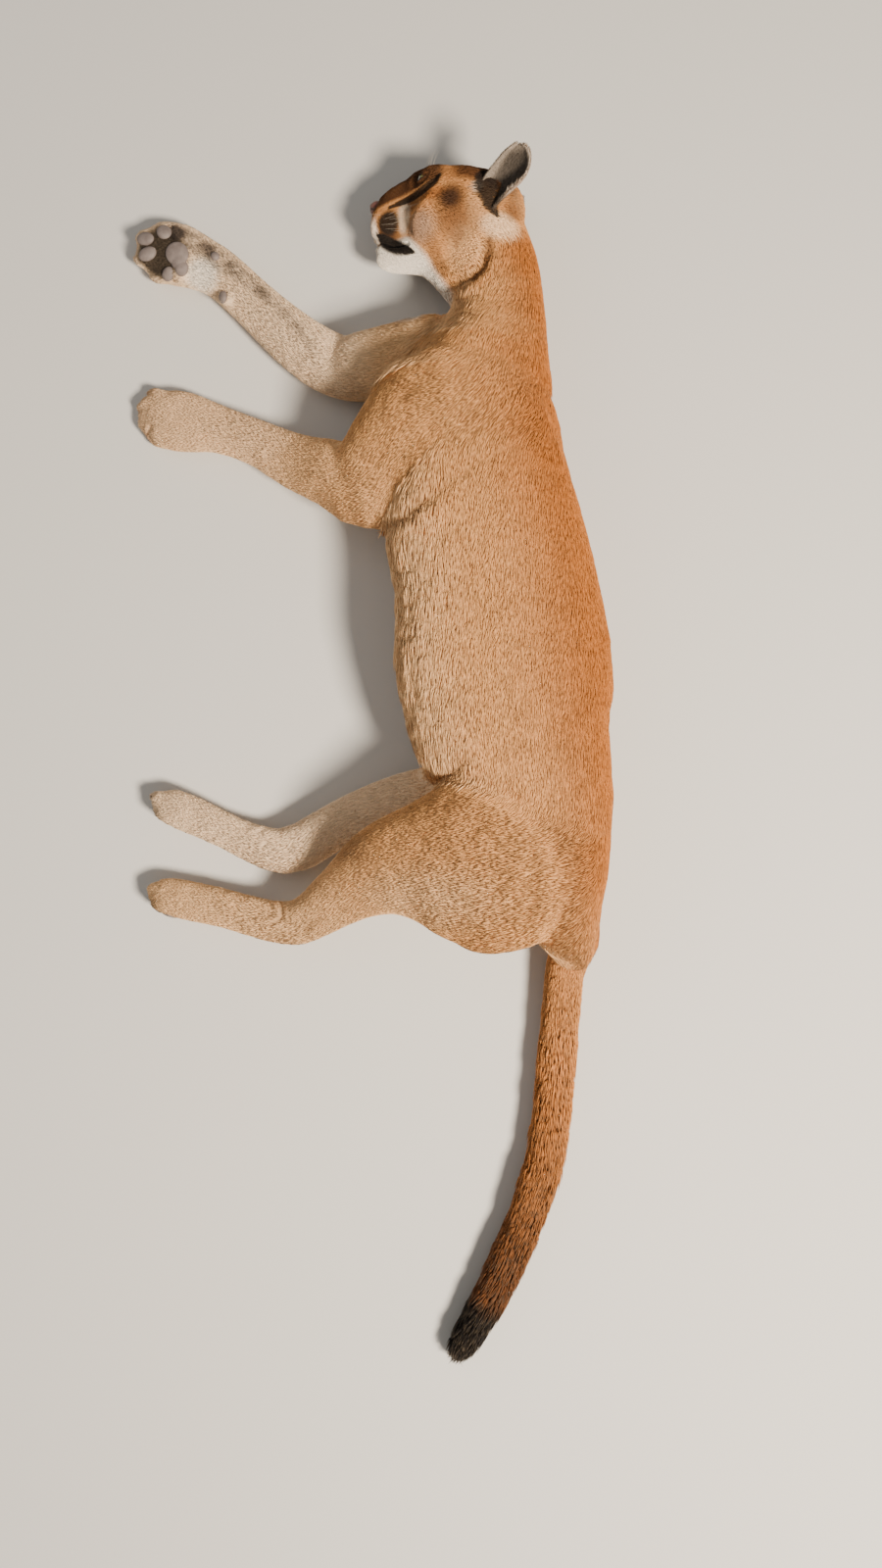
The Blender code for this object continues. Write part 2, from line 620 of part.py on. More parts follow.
def ear_shell(name):
    """An ear as a cup with a thick wall, its foot sunk in the head."""
    side, forward, reach, breadth = EARS[name]
    sheet = bmesh.new()
    rows = []
    for front_x, front_y, front_z, rear_x, rear_y, rear_z, depth in EAR_ROWS:
        row = []
        for k in range(EAR_COLUMNS + 1):
            turn = math.pi * k / EAR_COLUMNS
            share = (1 - math.cos(turn)) / 2 * breadth
            out = front_y + (rear_y - front_y) * share - depth * math.sin(turn)
            row.append(sheet.verts.new((
                front_x + (rear_x - front_x) * share + forward,
                side * out * reach,
                front_z + (rear_z - front_z) * share,
            )))
        rows.append(row)
    for low, high in zip(rows, rows[1:]):
        for k in range(EAR_COLUMNS):
            sheet.faces.new((low[k], low[k + 1], high[k + 1], high[k]))
    piece = new_object("ear", sheet, bpy.context.scene.collection)
    wall = piece.modifiers.new("wall", "SOLIDIFY")
    wall.thickness = EAR_WALL
    wall.offset = 0.0
    shell = evaluated(piece)
    bpy.data.objects.remove(piece)
    bmesh.ops.recalc_face_normals(shell, faces=shell.faces)
    return to_head(shell)


def make_head(neck):
    """The head with its sockets, mouth and nose bed, and the eyes, nose and ears that sit on it."""
    mesh = fused([loft(NECK), loft(THROAT)] + head_forms(), HEAD_VOXEL, 7, 3600)
    pieces = {"nose": make_nose()}
    for name in EARS:
        ear = ear_shell(name)
        for bed in (mesh, neck):
            ear = boolean(ear, swollen(copy_of(bed), GAP), "DIFFERENCE")
        pieces[name] = largest(ear)
    mesh = boolean(mesh, mouth_gap(), "DIFFERENCE")
    mesh = boolean(mesh, to_head(nose_pad(GAP)), "DIFFERENCE")
    for name, side in (("left", 1), ("right", -1)):
        mesh = boolean(mesh, eye_ball(side, GAP), "DIFFERENCE")
        mesh = boolean(mesh, fissure(side), "DIFFERENCE")
        pieces["eye_" + name] = eye_ball(side)
    pieces["head"] = largest(on_floor(cut(mesh, "head_neck", True)))
    return pieces


def make_foreleg(side, part, shoulder):
    mesh = fused([loft(part), loft(shoulder)] + paw_forms("forepaw_" + side), 0.004, 5, 2000)
    paw = cut(copy_of(mesh), "foreleg_forepaw_" + side, False)
    leg = cut(cut(mesh, "foreleg_forepaw_" + side, True), "torso_forelegs", False)
    return {"foreleg_" + side: largest(on_floor(leg)), "forepaw_" + side: largest(on_floor(paw))}


def make_hindleg(side, part, upper):
    mesh = fused([loft(part), loft(TORSO), loft(TAIL)] + paw_forms("hindfoot_" + side), 0.005, 5, 6000)
    foot = cut(copy_of(mesh), "shank_hindfoot_" + side, False)
    shank = cut(cut(copy_of(mesh), "shank_hindfoot_" + side, True), "thigh_shank_" + side, False)
    thigh = cut(mesh, "thigh_shank_" + side, True)
    thigh = boolean(thigh, prism(THIGH_OUTLINE, -0.1, 0.4), "INTERSECT")
    thigh = cut(thigh, "thigh_left_right", upper)
    pieces = {"thigh_": thigh, "shank_": shank, "hindfoot_": foot}
    return {name + side: largest(on_floor(piece)) for name, piece in pieces.items()}


def make_tail():
    mesh = fused([loft(TAIL), loft(TORSO), loft(LEG_LEFT), loft(LEG_RIGHT)], 0.005, 5, 5200)
    mesh = cut(mesh, "torso_tail", False)
    mesh = boolean(mesh, prism(offset_outline(THIGH_OUTLINE, GAP), -0.1, 0.4), "DIFFERENCE")
    base = cut(copy_of(mesh), "tail_base_middle", True)
    middle = cut(cut(copy_of(mesh), "tail_base_middle", False), "tail_middle_tip", True)
    tip = cut(mesh, "tail_middle_tip", False)
    pieces = {"tail_base": base, "tail_middle": middle, "tail_tip": tip}
    return {name: largest(on_floor(piece)) for name, piece in pieces.items()}


def finish(name):
    """The material of one piece."""
    colour, rough = next(value for start, value in FINISHES.items() if name.startswith(start))
    material = bpy.data.materials.new(name)
    material.use_nodes = True
    shader = material.node_tree.nodes["Principled BSDF"]
    shader.inputs["Base Color"].default_value = (*colour, 1.0)
    shader.inputs["Roughness"].default_value = rough
    shader.inputs["Metallic"].default_value = 0.0
    return material


def main():
    for item in list(bpy.data.objects):
        bpy.data.objects.remove(item)
    collection = bpy.data.collections.new("cougar")
    bpy.context.scene.collection.children.link(collection)
    pieces = {"torso": make_torso(), "neck": make_neck()}
    pieces.update(make_head(pieces["neck"]))
    pieces.update(make_foreleg("left", FORELEG_LEFT, SHOULDER_LEFT))
    pieces.update(make_foreleg("right", FORELEG_RIGHT, SHOULDER_RIGHT))
    pieces.update(make_hindleg("left", LEG_LEFT, True))
    pieces.update(make_hindleg("right", LEG_RIGHT, False))
    pieces.update(make_tail())
    for name, mesh in pieces.items():
        mesh.transform(Matrix.Translation((-MIDDLE[0], -MIDDLE[1], 0)))
        new_object(name, mesh, collection).data.materials.append(finish(name))


main()
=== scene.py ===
"""The looks of a cougar that lies on its right side, as a life-size museum model.

One skin stands for all the flesh, inside it by the coat's depth. The coat is made of solid tufts that
lie along the body, and carries the same markings and painted shade as the skin. Eyes, nose, pads and
whiskers are pieces of their own. Metres, +Z up, head to +Y, back to +X, left side up.
"""

import math

import bmesh
import bpy
import numpy as np
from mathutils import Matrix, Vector
from mathutils.bvhtree import BVHTree
from mathutils.kdtree import KDTree


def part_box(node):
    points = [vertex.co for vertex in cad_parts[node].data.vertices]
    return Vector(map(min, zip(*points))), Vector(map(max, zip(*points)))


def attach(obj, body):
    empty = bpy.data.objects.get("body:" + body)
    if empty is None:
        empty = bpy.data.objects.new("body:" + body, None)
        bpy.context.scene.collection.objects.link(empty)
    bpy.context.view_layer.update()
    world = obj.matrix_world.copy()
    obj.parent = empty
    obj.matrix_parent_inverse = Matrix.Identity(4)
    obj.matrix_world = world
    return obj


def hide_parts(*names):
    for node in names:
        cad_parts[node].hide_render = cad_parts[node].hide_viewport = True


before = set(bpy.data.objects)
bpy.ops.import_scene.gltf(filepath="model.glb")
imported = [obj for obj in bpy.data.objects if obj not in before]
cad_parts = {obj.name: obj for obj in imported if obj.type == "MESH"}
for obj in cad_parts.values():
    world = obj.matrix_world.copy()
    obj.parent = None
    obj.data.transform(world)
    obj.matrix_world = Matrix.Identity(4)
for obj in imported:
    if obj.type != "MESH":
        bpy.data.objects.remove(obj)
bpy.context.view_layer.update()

SEED = 11

# The lines below are given from the point under the camera, this far from the model's origin
MIDDLE = np.array((-0.1047, 0.0161, 0.0))
CAMERA_HEIGHT = 1.75
LENS = 27.0

# Nodes of flesh, which the skin replaces
FLESH = [
    "torso", "neck", "head", "foreleg_left", "foreleg_right", "forepaw_left", "forepaw_right", "thigh_left",
    "thigh_right", "shank_left", "shank_right", "hindfoot_left", "hindfoot_right", "tail_base", "tail_middle",
    "tail_tip",
]
FEET = ("forepaw_left", "forepaw_right", "hindfoot_left", "hindfoot_right")
SKIN_GRAIN = 0.0064
# Fillings of the head's hollows, in its own frame: middle and radii, for mouth, nose and sockets
FILLS = (
    ((0.062, 0.0, -0.038), (0.034, 0.0215, 0.016)),
    ((0.020, 0.0, -0.030), (0.040, 0.034, 0.022)),
    ((0.0855, 0.0, 0.0215), (0.0140, 0.0195, 0.0140)),
    ((0.0700, 0.0, 0.0330), (0.0220, 0.0170, 0.0120)),
    ((0.0150, 0.0265, 0.0440), (0.0135, 0.0135, 0.0135)),
    ((0.0150, -0.0265, 0.0440), (0.0135, 0.0135, 0.0135)),
)
# Swelling that closes the gaps between the nodes before they are made one skin
CLOSING = 0.0006

# Lines that the coat follows, from where its hair starts to where it ends: x, y, z, half-breadth there
LINES = {
    "trunk": [
        (0.050, 0.772, 0.078, 0.058), (0.078, 0.679, 0.080, 0.067), (0.075, 0.610, 0.090, 0.080),
        (0.050, 0.520, 0.103, 0.120), (0.051, 0.405, 0.108, 0.134), (0.073, 0.298, 0.110, 0.141),
        (0.086, 0.190, 0.109, 0.152), (0.101, 0.081, 0.107, 0.143), (0.136, -0.027, 0.103, 0.120),
        (0.160, -0.136, 0.095, 0.090), (0.180, -0.205, 0.072, 0.055),
    ],
    "tail": [
        (0.185, -0.235, 0.050, 0.042), (0.179, -0.286, 0.034, 0.036), (0.172, -0.372, 0.030, 0.034),
        (0.162, -0.486, 0.029, 0.033), (0.153, -0.543, 0.029, 0.033), (0.127, -0.629, 0.029, 0.032),
        (0.103, -0.686, 0.028, 0.031), (0.076, -0.743, 0.027, 0.030), (0.030, -0.825, 0.022, 0.024),
    ],
    "foreleg_left": [
        (0.095, 0.470, 0.150, 0.060), (0.010, 0.500, 0.150, 0.080), (-0.050, 0.462, 0.135, 0.075),
        (-0.100, 0.420, 0.104, 0.063), (-0.153, 0.440, 0.082, 0.050), (-0.210, 0.466, 0.050, 0.042),
        (-0.267, 0.497, 0.035, 0.036), (-0.325, 0.520, 0.024, 0.036), (-0.386, 0.534, 0.019, 0.045),
        (-0.450, 0.540, 0.017, 0.042),
    ],
    "foreleg_right": [
        (0.000, 0.600, 0.062, 0.060), (-0.112, 0.602, 0.041, 0.048), (-0.160, 0.612, 0.037, 0.046),
        (-0.213, 0.648, 0.031, 0.042), (-0.270, 0.700, 0.026, 0.037), (-0.320, 0.746, 0.023, 0.037),
        (-0.385, 0.777, 0.023, 0.045), (-0.450, 0.790, 0.022, 0.043),
    ],
    "hindleg_left": [
        (0.125, -0.104, 0.150, 0.110), (0.040, -0.104, 0.153, 0.120), (-0.034, -0.109, 0.142, 0.085),
        (-0.095, -0.127, 0.120, 0.062), (-0.153, -0.166, 0.088, 0.044), (-0.205, -0.199, 0.060, 0.037),
        (-0.250, -0.197, 0.050, 0.033), (-0.310, -0.182, 0.040, 0.031), (-0.383, -0.167, 0.032, 0.031),
        (-0.440, -0.155, 0.025, 0.030),
    ],
    "hindleg_right": [
        (0.110, -0.070, 0.060, 0.090), (0.000, -0.028, 0.052, 0.060), (-0.090, -0.040, 0.045, 0.045),
        (-0.135, -0.053, 0.041, 0.038), (-0.202, -0.090, 0.036, 0.037), (-0.250, -0.095, 0.034, 0.034),
        (-0.305, -0.073, 0.032, 0.029), (-0.370, -0.043, 0.031, 0.029), (-0.435, -0.020, 0.025, 0.030),
    ],
}

# The lines' numbers, in the same order
TRUNK, TAIL, FORELEG_LEFT, FORELEG_RIGHT, HINDLEG_LEFT, HINDLEG_RIGHT = range(len(LINES))
FORELEGS = (FORELEG_LEFT, FORELEG_RIGHT)
HINDLEGS = (HINDLEG_LEFT, HINDLEG_RIGHT)
RIGHT_LEGS = (FORELEG_RIGHT, HINDLEG_RIGHT)

# The head's own frame: x forward to the nose, y to its left, z to the crown
HEAD_AT = np.array((0.0, 0.803, 0.069)) - MIDDLE
SNOUT_DROP = math.radians(8.0)
HEAD_AXES = np.array((
    (-math.cos(SNOUT_DROP), 0.0, -math.sin(SNOUT_DROP)),
    (-math.sin(SNOUT_DROP), 0.0, math.cos(SNOUT_DROP)),
    (0.0, 1.0, 0.0),
))

# The plane where the head's own coat and markings end, and the way over it to the neck
NECK_EDGE = np.array((0.070, 0.735, 0.08)) - MIDDLE
NECK_WAY = np.array((0.620, -0.785, 0.0))

EYE_AT = np.array((0.0155, 0.0275, 0.0445))
EYE_RADIUS = 0.0135
EYE_WAY = np.array((0.80, 0.58, 0.10))
# How far round the eye the lids' marks reach
EYE_REACH = 0.024
# Half the length of the opening between the lids, its height above and below, and how thick the lids are
LID_LENGTH = 0.0105
LID_UPPER = 0.0030
LID_LOWER = 0.0032
LID_WALL = 0.0014

NOSE_AT = np.array((0.0915, 0.0, 0.0235))
NOSE_SIZE = (0.0115, 0.0165, 0.0110)

# The line between the lips, from the front to the corner, in the head's side view
MOUTH_LINE = np.array((
    (0.112, -0.0250), (0.096, -0.0275), (0.084, -0.0330), (0.072, -0.0385), (0.056, -0.0430),
    (0.041, -0.0445),
))
# The middle of the dark of the lips, and half its breadth at each point
LIPS = np.array((
    (0.0890, -0.0225), (0.0850, -0.0255), (0.0762, -0.0325), (0.0660, -0.0390), (0.0572, -0.0445),
    (0.0450, -0.0505), (0.0345, -0.0555),
))
LIPS_HALF = (0.0020, 0.0055, 0.0095, 0.0105, 0.0095, 0.0060, 0.0015)
# The dark line from the eye along the edge of the bridge: partly dark fur, partly painted shade
TEAR = np.array((
    (0.0000, 0.0400), (0.0060, 0.0320), (0.0190, 0.0245), (0.0360, 0.0190), (0.0560, 0.0145),
    (0.0720, 0.0112),
))
TEAR_HALF = (0.0045, 0.0075, 0.0080, 0.0065, 0.0050, 0.0025)
# Painted shade in the deep hollow of the cup where it runs down to the cheek
CUP_SHADE = np.array(((-0.0660, 0.0320), (-0.0680, 0.0120), (-0.0725, -0.0060), (-0.0820, -0.0205)))
CUP_SHADE_HALF = (0.0190, 0.0180, 0.0110, 0.0025)
# The rounded rear edge of the cheek, which stands off the neck
CHEEK_EDGE = np.array((
    (-0.0670, -0.0560), (-0.0690, -0.0720), (-0.0635, -0.0900), (-0.0516, -0.1000), (-0.0330, -0.1000),
))
# The brown streak down the cheek, and a grey band of painted shade behind the chin, where the lower jaw meets
# the cheek
CHEEK_STREAK = np.array(((-0.0229, -0.0240), (-0.0262, -0.0440), (-0.0257, -0.0560)))
CHEEK_STREAK_HALF = (0.018, 0.013, 0.005)
JAW_SHADE = np.array(((0.0150, -0.0430), (0.0090, -0.0512), (0.0050, -0.0666), (-0.0071, -0.0818)))
JAW_SHADE_HALF = (0.012, 0.009, 0.008, 0.007)
# Round markings of the head, and painted shade under the ear's fold, in its own frame: middle, radii, and how
# soft the rim is
HEAD_SPOTS = {
    "golden": ((0.0060, 0.050, 0.0120), (0.0200, 0.035, 0.0130), 0.4),
    "cream": ((0.0490, 0.036, -0.0060), (0.0090, 0.030, 0.0210), 0.4),
    "cheek": ((-0.0390, 0.055, -0.0620), (0.0260, 0.040, 0.0320), 0.4),
    "side": ((-0.0520, 0.060, -0.0150), (0.0130, 0.035, 0.0300), 0.4),
    "rim": ((0.0950, 0.012, -0.0180), (0.0080, 0.030, 0.0200), 0.4),
    "tuft": ((-0.0540, 0.062, 0.0163), (0.0070, 0.030, 0.0090), 0.4),
    "bed": ((0.0250, 0.055, -0.0300), (0.0230, 0.040, 0.0190), 0.6),
    "core": ((-0.0180, 0.062, 0.0010), (0.0175, 0.040, 0.0175), 0.75),
    "halo": ((-0.0230, 0.065, -0.0230), (0.0250, 0.040, 0.0260), 0.8),
    "front": ((0.0371, 0.040, 0.0070), (0.0170, 0.030, 0.0080), 0.6),
    "pad": ((0.0760, 0.027, -0.0255), (0.0170, 0.030, 0.0100), 0.6),
    "moustache": ((0.0720, 0.033, -0.0110), (0.0155, 0.0240, 0.0175), 0.30),
    "shade_under_ear": ((-0.1035, 0.060, -0.0075), (0.0125, 0.040, 0.0140), 0.6),
    "behind_cheek": ((-0.0840, 0.050, -0.0340), (0.0260, 0.045, 0.0190), 0.4),
}
# Round markings of the body and legs, and painted shade by the chest, from the point under the camera
BODY_SPOTS = {
    "buttock": ((-0.0100, -0.1500, 0.120), (0.1000, 0.0450, 0.110), 0.6),
    "lobe": ((-0.3430, 0.7350, 0.045), (0.0250, 0.0220, 0.030), 0.4),
    "shade_by_chest": ((-0.0850, 0.4950, 0.100), (0.0330, 0.0300, 0.050), 0.6),
    "shank": ((-0.0970, -0.0900, 0.120), (0.0420, 0.0200, 0.050), 0.6),
    "sole": ((-0.4020, 0.7700, 0.045), (0.0380, 0.0370, 0.030), 0.25),
}

# How deep the coat is along each line, on the feet, and on the face and further back on the head
COAT_DEPTHS = (0.0034, 0.0075, 0.0026, 0.0026, 0.0026, 0.0026)
FOOT_DEPTH = 0.0014
FACE_DEPTH = 0.0010
HEAD_DEPTH_MORE = 0.0014

# Rows of whiskers: the first one's place in the head's side view, and how many; the gap between two
WHISKER_ROWS = ((0.080, 0.0000, 3), (0.082, -0.0065, 4), (0.083, -0.0130, 4), (0.080, -0.0195, 3))
WHISKER_GAP = 0.0078

# Each ear's side, and its shift forward, its reach sideways and its breadth as shares of the left one's
EARS = {"left": (1.0, 0.0, 1.0, 1.0), "right": (-1.0, 0.012, 0.85, 0.80)}
EAR_WALL = 0.0024
# How many points an ear's sheet has up from its foot, and across from its front edge
EAR_UP = 45
EAR_ACROSS = 41
# The left ear from its foot to its tip: its front edge, its rear edge, and how deep the cup is between them
EAR_ROWS = np.array((
    (-0.0717, 0.055, -0.0136, -0.0785, 0.056, -0.0132, 0.004),
    (-0.0617, 0.057, -0.0004, -0.0913, 0.063, -0.0041, 0.009),
    (-0.0605, 0.058, 0.0126, -0.1038, 0.069, 0.0028, 0.013),
    (-0.0652, 0.058, 0.0258, -0.1148, 0.073, 0.0106, 0.016),
    (-0.0735, 0.060, 0.0362, -0.1236, 0.075, 0.0209, 0.018),
    (-0.0828, 0.065, 0.0437, -0.1289, 0.076, 0.0319, 0.017),
    (-0.0926, 0.070, 0.0524, -0.1303, 0.077, 0.0432, 0.013),
    (-0.1029, 0.074, 0.0594, -0.1277, 0.077, 0.0540, 0.008),
    (-0.1137, 0.076, 0.0635, -0.1224, 0.077, 0.0610, 0.003),
))

# The mottled brown streak along the forearm whose inner side shows, and half its breadth at each point
FOREARM_STREAK = np.array((
    (-0.3850, 0.8000), (-0.3500, 0.7780), (-0.3150, 0.7550), (-0.2780, 0.7250), (-0.2380, 0.6900),
    (-0.2050, 0.6550), (-0.1800, 0.6150),
))
STREAK_HALF = (0.0150, 0.0160, 0.0170, 0.0120, 0.0090, 0.0080, 0.0070)

# Folds seen from above: depth, half breadth, share of brown painted along it as shade, and its line
FOLDS = {
    "armpit": (0.0045, 0.0095, 0.30, ((-0.0885, 0.3515), (-0.0785, 0.3548), (-0.0569, 0.3616),
                                      (-0.0339, 0.3710), (-0.0068, 0.3859), (0.0244, 0.4062),
                                      (0.0542, 0.4266))),
    "shoulder": (0.0030, 0.0090, 0.35, ((-0.0608, 0.5022), (-0.0432, 0.5184), (-0.0135, 0.5454))),
    "elbow": (0.0020, 0.0050, 0.30, ((-0.0916, 0.4209), (-0.0820, 0.4346), (-0.0724, 0.4510))),
    "flank": (0.0050, 0.0080, 0.45, ((-0.0137, 0.0041), (0.0068, 0.0150), (0.0246, 0.0287),
                                     (0.0396, 0.0437))),
    "thigh": (0.0016, 0.0070, 0.30, ((-0.0026, -0.0290), (0.0158, -0.0198), (0.0369, -0.0250))),
    "hock_left": (0.0026, 0.0036, 0.60, ((-0.2275, -0.1647), (-0.2233, -0.1884), (-0.2345, -0.1968),
                                         (-0.2531, -0.2032))),
    "hock_left_rear": (0.0020, 0.0040, 0.50, ((-0.1929, -0.2081), (-0.1804, -0.1956), (-0.1651, -0.1845))),
    "hock_right": (0.0014, 0.0024, 0.40, ((-0.2655, -0.0722), (-0.2578, -0.0694), (-0.2503, -0.0673))),
    "hock_right_rear": (0.0014, 0.0024, 0.40, ((-0.2550, -0.0907), (-0.2479, -0.0864), (-0.2415, -0.0822))),
    "hind_toe_right": (0.0040, 0.0030, 0.95, ((-0.4149, -0.0128), (-0.4233, -0.0239), (-0.4265, -0.0369),
                                              (-0.4254, -0.0479), (-0.4163, -0.0568))),
    "hind_toe_left": (0.0022, 0.0018, 0.60, ((-0.4461, -0.1563), (-0.4429, -0.1481), (-0.4319, -0.1392),
                                             (-0.4102, -0.1415))),
    "hind_toe_left_low": (0.0026, 0.0018, 0.60, ((-0.4334, -0.1861), (-0.4277, -0.1776), (-0.4167, -0.1699),
                                                 (-0.3927, -0.1719))),
    "fore_toe_low": (0.0065, 0.0040, 0.70, ((-0.4202, 0.4949), (-0.4279, 0.5046), (-0.4298, 0.5122),
                                            (-0.4241, 0.5189), (-0.4183, 0.5208))),
    "fore_toe_middle": (0.0040, 0.0030, 0.55, ((-0.4596, 0.5391), (-0.4528, 0.5400), (-0.4452, 0.5467),
                                               (-0.4330, 0.5487))),
    "fore_toe_high": (0.0034, 0.0030, 0.45, ((-0.4394, 0.5726), (-0.4356, 0.5745), (-0.4200, 0.5700))),
    "knuckle": (0.0010, 0.0020, 0.30, ((-0.4029, 0.5726), (-0.3906, 0.5659))),
}


def unit(vectors):
    """Rows of an array, each made one long."""
    return vectors / np.maximum(np.linalg.norm(vectors, axis=-1, keepdims=True), 1e-12)


def smooth(low, high, values):
    """0 below low, 1 above high, and a soft step between them."""
    share = np.clip((values - low) / (high - low), 0.0, 1.0)
    return share * share * (3.0 - 2.0 * share)


def spot(points, middle, radii, soft=0.4):
    """1 inside an ellipsoid, falling to 0 over its soft rim."""
    reach = np.linalg.norm((points - np.array(middle)) / np.array(radii), axis=-1)
    return 1.0 - smooth(1.0 - soft, 1.0 + soft, reach)


def to_head(points):
    """Points of the model, in the head's own frame."""
    return (points - HEAD_AT) @ HEAD_AXES.T


def from_head(points):
    """Points of the head's own frame, in the model's."""
    return np.asarray(points) @ HEAD_AXES + HEAD_AT


def new_object(name, mesh):
    """An object at the origin that holds a bmesh."""
    data = bpy.data.meshes.new(name)
    mesh.to_mesh(data)
    mesh.free()
    piece = bpy.data.objects.new(name, data)
    bpy.context.scene.collection.objects.link(piece)
    return piece


def evaluated(piece):
    """The piece's mesh as its modifiers leave it, as a bmesh. The piece is removed."""
    view = piece.evaluated_get(bpy.context.evaluated_depsgraph_get())
    data = bpy.data.meshes.new_from_object(view)
    mesh = bmesh.new()
    mesh.from_mesh(data)
    bpy.data.meshes.remove(data)
    bpy.data.objects.remove(piece)
    return mesh


def places(mesh):
    """The vertices and their normals, as arrays."""
    mesh.normal_update()
    points = np.array([vert.co for vert in mesh.verts])
    normals = np.array([vert.normal for vert in mesh.verts])
    return points, normals


def move_to(mesh, points):
    """Moves the vertices to these points."""
    for vert, point in zip(mesh.verts, points):
        vert.co = point


def shade_smooth(piece):
    """Smooth shading on every face."""
    piece.data.polygons.foreach_set("use_smooth", [True] * len(piece.data.polygons))


class Lie:
    """Where points are along the body's lines, and the way the coat lies there."""

    def __init__(self, points, lines=tuple(LINES)):
        self.line = np.zeros(len(points), int)
        self.share = np.zeros(len(points))
        self.near = np.full(len(points), 9.0)
        self.angle = np.zeros(len(points))
        self.across = np.zeros(len(points))
        ways = np.zeros((len(points), 3))
        for name in lines:
            index = list(LINES).index(name)
            stations = np.array(LINES[name])
            line = stations[:, :3] - MIDDLE
            lengths = np.linalg.norm(np.diff(line, axis=0), axis=1)
            starts = np.concatenate(((0.0,), np.cumsum(lengths)))
            for k, length in enumerate(lengths):
                way = (line[k + 1] - line[k]) / length
                along = np.clip((points - line[k]) @ way, 0.0, length)
                off = points - line[k] - along[:, None] * way
                half = stations[k, 3] + (stations[k + 1, 3] - stations[k, 3]) * along / length
                ratio = np.linalg.norm(off, axis=1) / half
                ways += way * np.exp(-(ratio * 2.2) ** 2)[:, None]
                closer = ratio < self.near
                side = np.cross(way, (0.0, 0.0, 1.0))
                side /= np.linalg.norm(side)
                self.near[closer] = ratio[closer]
                self.line[closer] = index
                self.share[closer] = ((starts[k] + along) / starts[-1])[closer]
                self.across[closer] = ((off @ side) / half)[closer]
                self.angle[closer] = np.arctan2(off[:, 2], off @ side)[closer]
        self.way = unit(ways)


def flesh_mesh():
    """The nodes of flesh as one closed mesh, smooth, with the hollows of the head filled."""
    whole = bmesh.new()
    for name in FLESH:
        whole.from_mesh(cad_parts[name].data)
    bmesh.ops.remove_doubles(whole, verts=whole.verts, dist=1e-5)
    points, normals = places(whole)
    move_to(whole, points + normals * CLOSING)
    for middle, radii in FILLS:
        made = bmesh.ops.create_uvsphere(whole, u_segments=24, v_segments=16, radius=1.0)
        for vert in made["verts"]:
            vert.co = from_head(np.array(vert.co) * radii + middle)
    piece = new_object("flesh", whole)
    remesh = piece.modifiers.new("one skin", "REMESH")
    remesh.mode = "VOXEL"
    remesh.voxel_size = SKIN_GRAIN
    soft = piece.modifiers.new("soft", "SMOOTH")
    soft.factor = 0.5
    soft.iterations = 2
    mesh = evaluated(piece)
    bmesh.ops.recalc_face_normals(mesh, faces=mesh.faces)
    return mesh


def made_finer(mesh, inside, cuts):
    """Cuts the faces whose middles lie inside smaller."""
    centres = np.array([face.calc_center_median() for face in mesh.faces])
    chosen = [face for face, take in zip(mesh.faces, inside(centres)) if take]
    edges = list({edge for face in chosen for edge in face.edges})
    bmesh.ops.subdivide_edges(mesh, edges=edges, cuts=cuts, use_grid_fill=True)


def in_face(points):
    """Whether points are in the front of the head, which gets a finer mesh."""
    head = to_head(points)
    return (head[:, 0] > -0.035) & (np.abs(head[:, 1]) < 0.085) & (np.abs(head[:, 2]) < 0.095)


def in_feet(points):
    """Whether points are in a foot's box."""
    inside = np.zeros(len(points), bool)
    for name in FEET:
        low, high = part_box(name)
        inside |= np.all((points > np.array(low) - 0.002) & (points < np.array(high) + 0.002), axis=1)
    return inside


def head_share(points):
    """1 on the head, falling to 0 where the neck starts."""
    away = (points - NECK_EDGE) @ NECK_WAY
    reach = np.linalg.norm(to_head(points), axis=1)
    return (1.0 - smooth(-0.012, 0.010, away)) * (1.0 - smooth(0.145, 0.165, reach))


def mirrored_head(points):
    """Points in the head's own frame, both sides brought to its left."""
    head = to_head(points)
    head[:, 1] = np.abs(head[:, 1])
    return head


def eye_axes():
    """The way the eye looks, the way along its opening to the outer corner, and the way up."""
    look = unit(EYE_WAY)
    along = unit(np.cross((0.10, 0.0, 1.0), look))
    return look, along, np.cross(look, along)


def opening(head):
    """Place along the opening of the lids, height over its middle, and the share of the way to its rim."""
    _, along, up = eye_axes()
    off = head - EYE_AT
    far = off @ along
    high = off @ up - 0.0012 * (1.0 - (far / LID_LENGTH) ** 2)
    half = np.where(high > 0.0, LID_UPPER, LID_LOWER) * np.clip(1.0 - (far / LID_LENGTH) ** 2, 0.0, 1.0)
    half = np.maximum(half, 1e-5)
    return far, high, np.abs(high) / half


def coat_depth(points, lie):
    """How deep the coat is."""
    depth = np.choose(lie.line, COAT_DEPTHS)
    foot = (lie.line > TAIL) * smooth(0.74, 0.86, lie.share)
    depth = depth + foot * (FOOT_DEPTH - depth)
    head = mirrored_head(points)
    face = FACE_DEPTH + HEAD_DEPTH_MORE * smooth(0.03, -0.07, head[:, 0])
    return depth + head_share(points) * (face - depth)


def from_line(points, line):
    """How far points of a plane are from a line of joined points, and the share of the way along it."""
    best = np.full(len(points), 9.0)
    share = np.zeros(len(points))
    for k in range(len(line) - 1):
        way = line[k + 1] - line[k]
        length = np.linalg.norm(way)
        along = np.clip((points - line[k]) @ way / length ** 2, 0.0, 1.0)
        away = np.linalg.norm(points - line[k] - along[:, None] * way, axis=1)
        closer = away < best
        best[closer] = away[closer]
        share[closer] = (k + along[closer]) / (len(line) - 1)
    return best, share


